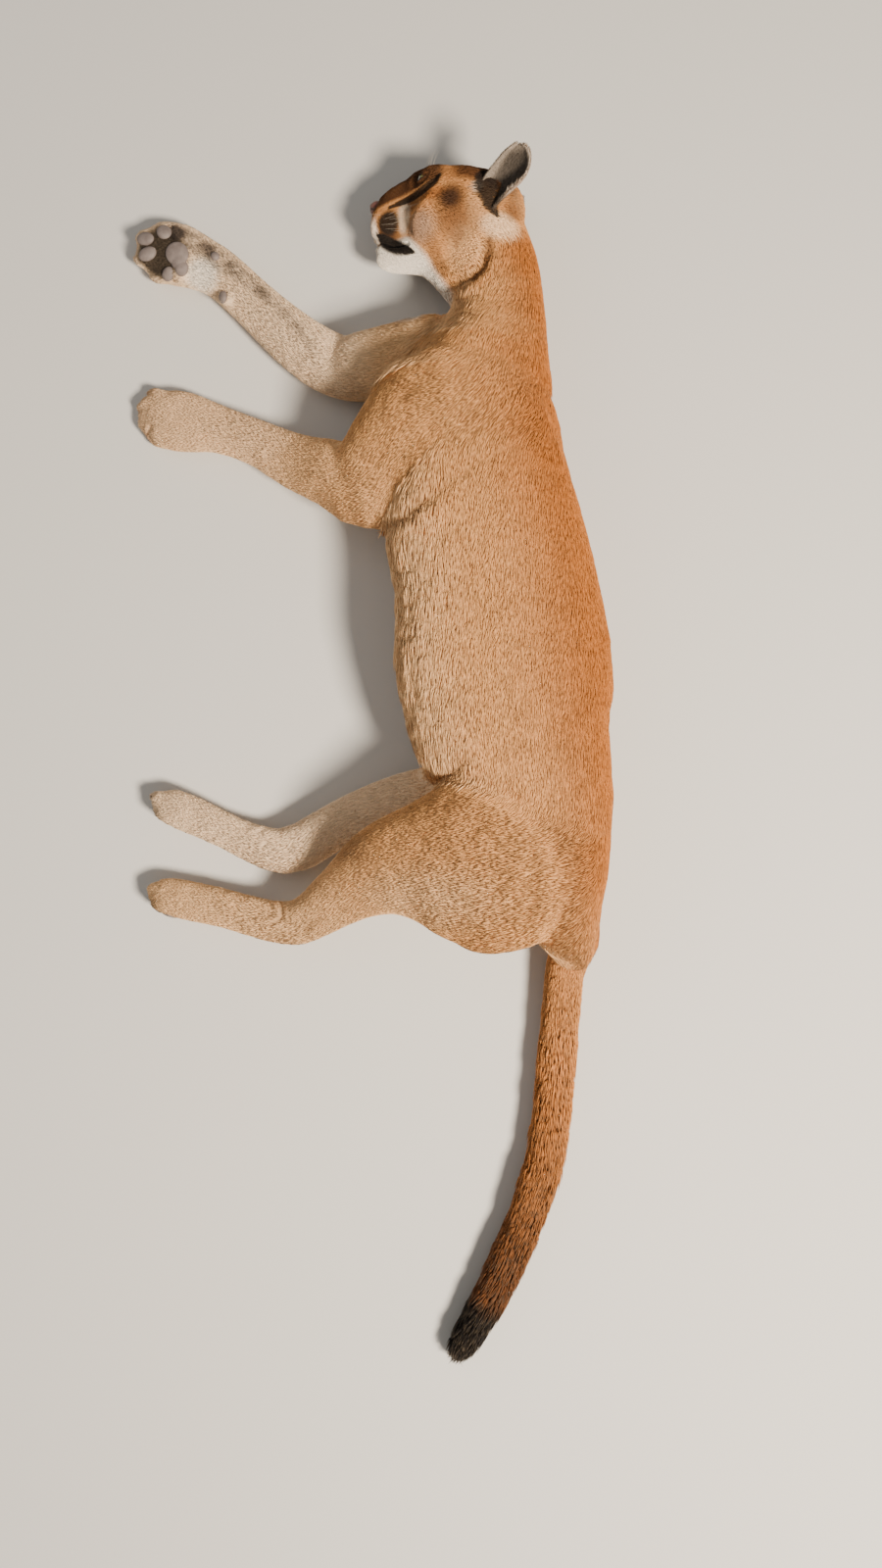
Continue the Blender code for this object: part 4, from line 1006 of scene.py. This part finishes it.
def make_coat(skin):
    """The tufts all over the skin, in one piece for each region."""
    rng = np.random.default_rng(SEED)
    points, normals, corners = mesh_arrays(skin.data)
    layer = np.empty(len(points), np.float32)
    skin.data.attributes["part"].data.foreach_get("value", layer)
    middles = points[corners].mean(axis=1)
    facing = unit(normals[corners].mean(axis=1))
    part = layer[corners[:, 0]].round().astype(int)
    lie = Lie(middles)
    sizes = tuft_sizes(middles, lie)
    sizes[part > 0] = TUFTS["ear"]
    cover = tufts_per_area(sizes)
    cover *= np.where(bare_share(middles), 0.0, 1.0)
    cover *= np.where((middles[:, 2] < 0.004) & (facing[:, 2] < -0.5), 0.15, 1.0)
    for number, side in enumerate(EARS, 1):
        own = np.flatnonzero(part == number)
        across, up, hollow = on_ear(middles[own], side)
        long_hair = smooth(0.66, 0.80, across) * smooth(0.50, 0.36, up) * smooth(0.02, 0.14, up) * hollow
        sizes[own] += (np.array(TUFTS["pocket"]) - sizes[own]) * long_hair[:, None]
        cover[own] = tufts_per_area(sizes[own])
        haired = np.maximum(long_hair, smooth(0.3, 0.1, across))
        cover[own] *= np.where(hollow > 0.5, 0.30 + 0.70 * haired, 1.0)
    cover *= COVER_SHARE
    chosen, shares = scattered(points, corners, cover, rng)
    roots = np.einsum("nk,nkc->nc", shares, points[corners[chosen]])
    lean = unit(np.einsum("nk,nkc->nc", shares, normals[corners[chosen]]))
    lie = Lie(roots)
    kind = part[chosen]
    ways = coat_way(roots, lean, lie)
    found = marks(roots, lean, lie)
    sizes = sizes[chosen]
    for number, side in enumerate(EARS, 1):
        own = kind == number
        place, up, hollow = on_ear(roots[own], side)
        sheet, _ = ear_sheet(side)
        stand = unit(sheet[-1, 20] - sheet[8, 20]) @ HEAD_AXES
        inwards = (sheet[20, 4] - sheet[20, 36]) @ HEAD_AXES
        stand = stand + unit(inwards)[None] * (smooth(0.6, 0.9, place) * smooth(0.6, 0.3, up))[:, None] * 0.5
        away = stand - lean[own] * np.sum(lean[own] * stand, axis=1)[:, None]
        ways[own] = unit(away)
        more = ear_marks(place, up, hollow)
        for name in found:
            found[name][own] = more[name]
    names = coat_piece(lie, roots, kind)
    spots = unwrap(roots, lie, kind)
    material = coat_material("short_fur_tufts", True)
    for name in sorted(set(names)):
        own = np.flatnonzero(names == name)
        piece = tuft_mesh(name, roots[own], lean[own], ways[own], sizes[own],
                          {key: values[own] for key, values in found.items()}, spots[own], rng)
        piece.data.materials.append(material)
        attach(piece, "root")


def add(tree, kind, settings=None, links=None):
    """A node of a material, with its settings and what its inputs are linked to or set to."""
    node = tree.nodes.new(kind)
    for name, value in (settings or {}).items():
        setattr(node, name, value)
    for name, value in (links or {}).items():
        if isinstance(value, bpy.types.NodeSocket):
            tree.links.new(value, node.inputs[name])
        else:
            node.inputs[name].default_value = value
    return node


def noise(tree, place, scale, detail=2.0):
    """A soft random value from 0 to 1."""
    links = {"Vector": place, "Scale": scale, "Detail": detail}
    return add(tree, "ShaderNodeTexNoise", None, links).outputs["Fac"]


def pebbles(tree, place, scale):
    """Height of small round pebbles."""
    return add(tree, "ShaderNodeTexVoronoi", None, {"Vector": place, "Scale": scale}).outputs["Distance"]


def between(tree, value, low, high):
    """A value from 0 to 1, brought between two others."""
    return add(tree, "ShaderNodeMapRange", None, {"Value": value, "To Min": low, "To Max": high}).outputs[0]


def mesh_value(tree, name):
    """The value that the mesh keeps under a name."""
    return add(tree, "ShaderNodeAttribute", {"attribute_name": name}).outputs["Fac"]


def times(tree, first, second):
    """The product of two values."""
    return add(tree, "ShaderNodeMath", {"operation": "MULTIPLY"}, {0: first, 1: second}).outputs[0]


def mixed(tree, share, first, second):
    """A mix of two colours, each a hex value or a node's output."""
    first, second = (linear(colour) if isinstance(colour, str) else colour for colour in (first, second))
    return add(tree, "ShaderNodeMix", {"data_type": "RGBA"}, {0: share, 6: first, 7: second}).outputs[2]


def add_bump(tree, shader, height, strength, distance):
    """Bump on the shader's surface."""
    bump = add(tree, "ShaderNodeBump", None, {"Height": height, "Strength": strength, "Distance": distance})
    tree.links.new(bump.outputs[0], shader.inputs["Normal"])


def linear(code):
    """A linear colour from its sRGB hex value."""
    parts = [int(code[k:k + 2], 16) / 255.0 for k in (1, 3, 5)]
    return (*[part / 12.92 if part <= 0.04045 else ((part + 0.055) / 1.055) ** 2.4 for part in parts], 1.0)


def plain_material(name, colour, roughness):
    """A new material with a Principled shader, and that shader."""
    material = bpy.data.materials.new(name)
    material.use_nodes = True
    tree = material.node_tree
    shader = tree.nodes["Principled BSDF"]
    shader.inputs["Base Color"].default_value = linear(colour)
    shader.inputs["Roughness"].default_value = roughness
    return material, tree, shader


# Colours of the coat; brown and dark also paint shade in its folds and hollows
FLANK = "#dda266"
COLOURS = {"back": "#b86f30", "pale": "#fbd09d", "brown": "#754522", "white": "#fdf3e4", "dark": "#120d0b"}


def coat_material(name, tufts):
    """Short dry fur: soft broken light, each tuft a little lighter or darker, and darker at its root."""
    material, tree, shader = plain_material(name, FLANK, 0.68)
    place = add(tree, "ShaderNodeTexCoord").outputs["Object"]
    colour = FLANK
    for mark, code in COLOURS.items():
        colour = mixed(tree, mesh_value(tree, mark), colour, code)
    # Broad patches about 40 mm across, where the coat is a little lighter or darker
    value = between(tree, noise(tree, place, 25.0, 3.0), 0.88, 1.12)
    if tufts:
        value = times(tree, value, between(tree, mesh_value(tree, "strand"), 0.80, 1.16))
        value = times(tree, value, between(tree, mesh_value(tree, "along"), 0.74, 1.08))
    else:
        # Hairs about 1.5 mm apart, drawn coarser than real ones
        fine = noise(tree, place, 650.0)
        value = times(tree, value, between(tree, fine, 0.55, 1.05))
        add_bump(tree, shader, fine, 0.5, 0.0008)
    toned = add(tree, "ShaderNodeHueSaturation", None, {"Value": value, "Color": colour}).outputs[0]
    tree.links.new(toned, shader.inputs["Base Color"])
    shader.inputs["Specular IOR Level"].default_value = 0.20
    shader.inputs["Sheen Weight"].default_value = 0.07
    shader.inputs["Sheen Roughness"].default_value = 0.45
    shader.inputs["Sheen Tint"].default_value = linear("#ffe2c0")
    return material


def make_nose():
    """The nose leather: broad above, drawn in below, with a groove and two curved nostrils."""
    mesh = bmesh.new()
    bmesh.ops.create_uvsphere(mesh, u_segments=96, v_segments=64, radius=1.0)
    points = np.array([vert.co for vert in mesh.verts])
    x, y, z = points.T
    narrow = 1.0 - 0.34 * smooth(0.1, -1.0, z)
    shape = np.column_stack((x * NOSE_SIZE[0], y * NOSE_SIZE[1] * narrow, z * NOSE_SIZE[2]))
    mm = shape * 1000.0
    front = smooth(0.0, 0.35, x)
    side = np.abs(mm[:, 1])
    hole = np.exp(-((side - 7.2) / 2.6) ** 2 - ((mm[:, 2] + 1.2 + 0.25 * (side - 7.2)) / 2.1) ** 2)
    slit = np.exp(-((side - 11.0) / 2.6) ** 2 - ((mm[:, 2] + 3.4 + 0.5 * (side - 11.0)) / 1.1) ** 2)
    groove = np.exp(-(mm[:, 1] / 0.9) ** 2) * smooth(2.0, -3.0, mm[:, 2])
    wing = np.exp(-((side - 8.5) / 4.0) ** 2 - ((mm[:, 2] - 3.2) / 2.0) ** 2)
    mm[:, 0] += front * (1.0 * wing - 5.5 * hole - 2.4 * slit - 1.4 * groove)
    move_to(mesh, from_head(mm / 1000.0 + NOSE_AT))
    nose = new_object("nose_leather", mesh)
    write_marks(nose.data, {"hollow": np.clip(front * (hole + slit), 0.0, 1.0)})
    shade_smooth(nose)
    material, tree, shader = plain_material("moist_nose_leather", "#6b4038", 0.42)
    place = add(tree, "ShaderNodeTexCoord").outputs["Object"]
    # Pebbles of about 0.8 mm
    add_bump(tree, shader, pebbles(tree, place, 1200.0), 0.35, 0.0004)
    tone = mixed(tree, noise(tree, place, 220.0), "#7d4d42", "#543029")
    # Painted shade inside the nostrils
    tone = mixed(tree, mesh_value(tree, "hollow"), tone, "#160b09")
    tree.links.new(tone, shader.inputs["Base Color"])
    nose.data.materials.append(material)
    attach(nose, "root")
    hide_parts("nose")


def eye_material():
    """A wet eye: round dark pupil, greenish amber iris, dark rim, clear film over all."""
    material, tree, shader = plain_material("wet_eye", "#4a4a22", 0.12)
    ramp = add(tree, "ShaderNodeValToRGB", None, {"Fac": mesh_value(tree, "gaze")})
    stops = ((0.0, "#060504"), (0.20, "#060504"), (0.23, "#6f6c34"), (0.42, "#8e8a4c"), (0.60, "#5c4a22"),
             (0.66, "#120d09"), (0.75, "#3a2a22"), (1.0, "#6b5048"))
    ramp.color_ramp.elements.remove(ramp.color_ramp.elements[1])
    for k, (position, code) in enumerate(stops):
        stop = ramp.color_ramp.elements[0] if k == 0 else ramp.color_ramp.elements.new(position)
        stop.position = position
        stop.color = linear(code)
    tree.links.new(ramp.outputs["Color"], shader.inputs["Base Color"])
    shader.inputs["Coat Weight"].default_value = 1.0
    shader.inputs["Coat Roughness"].default_value = 0.04
    shader.inputs["IOR"].default_value = 1.38
    return material


def make_eyes():
    """Two eyeballs with a raised clear front."""
    material = eye_material()
    for name, side in (("left", 1.0), ("right", -1.0)):
        mesh = bmesh.new()
        bmesh.ops.create_uvsphere(mesh, u_segments=64, v_segments=48, radius=1.0)
        points = np.array([vert.co for vert in mesh.verts])
        look = unit(EYE_WAY * (1.0, side, 1.0))
        turn = np.arccos(np.clip(points @ look, -1.0, 1.0))
        reach = EYE_RADIUS + 0.0006 * (1.0 - smooth(0.15, 0.75, turn)) - 0.0002
        move_to(mesh, from_head(points * reach[:, None] + EYE_AT * (1.0, side, 1.0)))
        eye = new_object("eyeball_" + name, mesh)
        write_marks(eye.data, {"gaze": np.clip(turn / 1.1, 0.0, 1.0)})
        shade_smooth(eye)
        eye.data.materials.append(material)
        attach(eye, "root")
        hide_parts("eye_" + name)


def hair_mesh(mesh, line, thick, sides=5):
    """One stiff hair: a tapered tube along a line, pointed at its end, added to a mesh."""
    line = np.array(line)
    rings = []
    for k, point in enumerate(line):
        way = unit(line[min(k + 1, len(line) - 1)] - line[max(k - 1, 0)])
        side = unit(np.cross(way, (0.31, 0.17, 0.93)))
        over = np.cross(side, way)
        radius = thick * (1.0 - k / (len(line) - 1)) ** 0.8
        if k == len(line) - 1:
            rings.append([mesh.verts.new(point)])
            continue
        turns = 2.0 * math.pi * np.arange(sides) / sides
        rings.append([mesh.verts.new(point + radius * (side * math.cos(t) + over * math.sin(t)))
                      for t in turns])
    mesh.faces.new(list(reversed(rings[0])))
    for low, high in zip(rings, rings[1:]):
        for k in range(sides):
            after = (k + 1) % sides
            if len(high) == 1:
                mesh.faces.new((low[k], low[after], high[0]))
            else:
                mesh.faces.new((low[k], low[after], high[after], high[k]))


def on_skin(tree, point, way):
    """Where a ray meets the skin, and the skin's normal there."""
    hit, normal, _, _ = tree.ray_cast(Vector(point), Vector(unit(np.array(way))))
    return (np.array(hit), np.array(normal)) if hit is not None else (None, None)


def make_whiskers(tree):
    """Whiskers on both pads and a few long hairs over each eye, pale and stiff, curving back."""
    rng = np.random.default_rng(SEED + 1)
    mesh = bmesh.new()
    for side in (1.0, -1.0):
        for k, (x, z) in enumerate(whisker_roots()):
            start = from_head((x, side * 0.08, z))
            hit, normal = on_skin(tree, start, np.array((0.0, -side, 0.0)) @ HEAD_AXES)
            if hit is None:
                continue
            length = rng.uniform(0.045, 0.075) * (0.75 + 0.45 * smooth(0.092, 0.062, np.array(x)))
            back = -0.90 + rng.normal(0.0, 0.10)
            out = side * rng.uniform(0.30, 0.60)
            way = np.array((back, out, 18.0 * (z + 0.008)))
            way = unit(way + rng.normal(0.0, 0.07, 3))
            if k == 0:
                way = unit(np.array((0.9, side * 0.4, 0.05)))
                length = 0.028
            drop = np.array((-0.55, side * -0.20, -0.35))
            line = []
            for step in np.linspace(0.0, 1.0, 8):
                point = to_head(hit) + way * length * step + drop * length * 0.35 * step ** 2
                point = from_head(point) - normal * 0.001 * (1.0 - step)
                point[2] = max(point[2], 0.0006)
                line.append(point)
            hair_mesh(mesh, line, 0.00014)
        for k in range(4):
            start = from_head((0.018 - 0.004 * k, side * (0.030 + 0.003 * k), 0.12))
            hit, normal = on_skin(tree, start, np.array((0.0, 0.0, -1.0)) @ HEAD_AXES)
            if hit is None:
                continue
            way = unit(np.array((-0.2, side * 0.35, 0.85)) + rng.normal(0.0, 0.10, 3))
            drop = np.array((-0.8, side * 0.2, -0.3))
            line = [hit - normal * 0.001 + (way * 0.026 * t + drop * 0.012 * t * t) @ HEAD_AXES
                    for t in np.linspace(0.0, 1.0, 6)]
            hair_mesh(mesh, line, 0.00020)
    whiskers = new_object("whiskers", mesh)
    shade_smooth(whiskers)
    material, _, shader = plain_material("stiff_hair", "#c9bca9", 0.45)
    shader.inputs["Specular IOR Level"].default_value = 0.5
    whiskers.data.materials.append(material)
    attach(whiskers, "root")


# Pads of the forefoot that shows its sole, seen from above: place, heading, half length and half breadth
SOLE_PADS = [
    ((-0.3811, 0.7661), (-0.80, 0.60), 0.0165, 0.0155), ((-0.3790, 0.7560), (-0.20, -1.0), 0.0120, 0.0110),
    ((-0.3745, 0.7450), (-0.50, -0.86), 0.0105, 0.0088), ((-0.4012, 0.7993), (-0.60, 0.80), 0.0118, 0.0100),
    ((-0.4288, 0.7909), (-0.94, 0.34), 0.0130, 0.0098), ((-0.4254, 0.7688), (-0.94, -0.34), 0.0130, 0.0096),
    ((-0.3956, 0.7398), (-0.60, -0.80), 0.0100, 0.0084), ((-0.3263, 0.7620), (0.60, -0.80), 0.0066, 0.0062),
    ((-0.3152, 0.7043), (0.60, -0.80), 0.0088, 0.0080),
]


# Pads of a hind foot, on its side: place from the toes, level, half length and half breadth
HIND_PADS = (
    (0.010, 0.72, 0.0085, 0.0062), (0.016, 0.36, 0.0085, 0.0062), (0.034, 0.55, 0.0120, 0.0110),
)
HIND_PAD_LEVEL_MOST = 0.030
PAD_SWELL = 1.08
SOLE_PAD_RISE = 0.0060
HIND_PAD_RISE = 0.0030


def lump_on(mesh, hit, normal, way, half, rise):
    """A low rounded lump that sits on the skin."""
    way = unit(way - normal * (way @ normal))
    side = np.cross(normal, way)
    made = bmesh.ops.create_uvsphere(mesh, u_segments=24, v_segments=16, radius=1.0)
    for vert in made["verts"]:
        x, y, z = vert.co
        vert.co = hit + way * x * half[0] + side * y * half[1] + normal * (z * rise)


def make_pads(tree):
    """The bare pads of the feet: thick grey-brown leather, pebbled, lighter and darker in patches."""
    mesh = bmesh.new()
    for (x, y), way, length, breadth in SOLE_PADS:
        start = np.array((x, y, 0.12)) - MIDDLE
        hit, normal = on_skin(tree, start, (0.0, 0.0, -1.0))
        if hit is not None:
            half = (length * PAD_SWELL, breadth * PAD_SWELL)
            lump_on(mesh, hit, normal, np.array((*way, 0.0)), half, SOLE_PAD_RISE)
    # The hind feet lie on their sides, with their pads to -Y
    for name in ("hindfoot_left", "hindfoot_right"):
        low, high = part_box(name)
        for ahead, level, length, breadth in HIND_PADS:
            height = min(low.z + (high.z - low.z) * level, HIND_PAD_LEVEL_MOST)
            start = np.array((low.x + ahead, low.y - 0.05, height))
            hit, normal = on_skin(tree, start, (0.0, 1.0, 0.0))
            if hit is not None and normal[1] < -0.6:
                lump_on(mesh, hit, normal, np.array((1.0, 0.0, 0.0)), (length, breadth), HIND_PAD_RISE)
    piece = new_object("pads", mesh)
    remesh = piece.modifiers.new("one surface", "REMESH")
    remesh.mode = "VOXEL"
    remesh.voxel_size = 0.0008
    soft = piece.modifiers.new("soft", "SMOOTH")
    soft.iterations = 6
    pads = new_object("foot_pads", evaluated(piece))
    shade_smooth(pads)
    material, tree, shader = plain_material("pad_leather", "#4b3f3c", 0.62)
    place = add(tree, "ShaderNodeTexCoord").outputs["Object"]
    # Pebbles of about 1 mm
    add_bump(tree, shader, pebbles(tree, place, 900.0), 0.5, 0.0006)
    tone = mixed(tree, noise(tree, place, 110.0, 4.0), "#574b48", "#8f827c")
    tree.links.new(tone, shader.inputs["Base Color"])
    pads.data.materials.append(material)
    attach(pads, "root")


def make_floor():
    """A plain pale floor."""
    mesh = bmesh.new()
    bmesh.ops.create_grid(mesh, x_segments=1, y_segments=1, size=6.0)
    floor = new_object("floor", mesh)
    material, _, _ = plain_material("matt_floor_paint", "#cfcdc9", 0.9)
    floor.data.materials.append(material)


def aimed(data, name, place, target):
    """A light or camera at a place, turned towards a target."""
    piece = bpy.data.objects.new(name, data)
    piece.location = place
    piece.rotation_euler = (Vector(target) - Vector(place)).to_track_quat("-Z", "Y").to_euler()
    bpy.context.scene.collection.objects.link(piece)
    return piece


def make_lights():
    """A large soft key from the back's side, a weak fill from the legs' side, and a pale surround."""
    key = bpy.data.lights.new("key", "AREA")
    key.shape = "DISK"
    key.size = 0.8
    key.energy = 350.0
    key.color = linear("#fff1de")[:3]
    aimed(key, "key", (1.9, -1.3, 2.9), (0.0, 0.1, 0.0))
    fill = bpy.data.lights.new("fill", "AREA")
    fill.size = 2.5
    fill.energy = 16.0
    aimed(fill, "fill", (-2.2, 1.2, 2.2), (0.0, 0.0, 0.0))
    world = bpy.data.worlds.new("studio")
    world.use_nodes = True
    world.node_tree.nodes["Background"].inputs["Color"].default_value = linear("#f3eee6")
    world.node_tree.nodes["Background"].inputs["Strength"].default_value = 0.34
    bpy.context.scene.world = world


def make_camera():
    """The photo's view: straight down, the head at the top of the frame."""
    data = bpy.data.cameras.new("camera")
    data.lens = LENS
    camera = bpy.data.objects.new("camera", data)
    camera.location = (-MIDDLE[0], -MIDDLE[1], CAMERA_HEIGHT)
    bpy.context.scene.collection.objects.link(camera)
    bpy.context.scene.camera = camera


def main():
    """The whole scene."""
    make_camera()
    make_lights()
    make_floor()
    skin = make_skin()
    points, _, corners = mesh_arrays(skin.data)
    tree = BVHTree.FromPolygons(points.tolist(), corners.tolist())
    make_coat(skin)
    make_nose()
    make_eyes()
    make_whiskers(tree)
    make_pads(tree)


main()
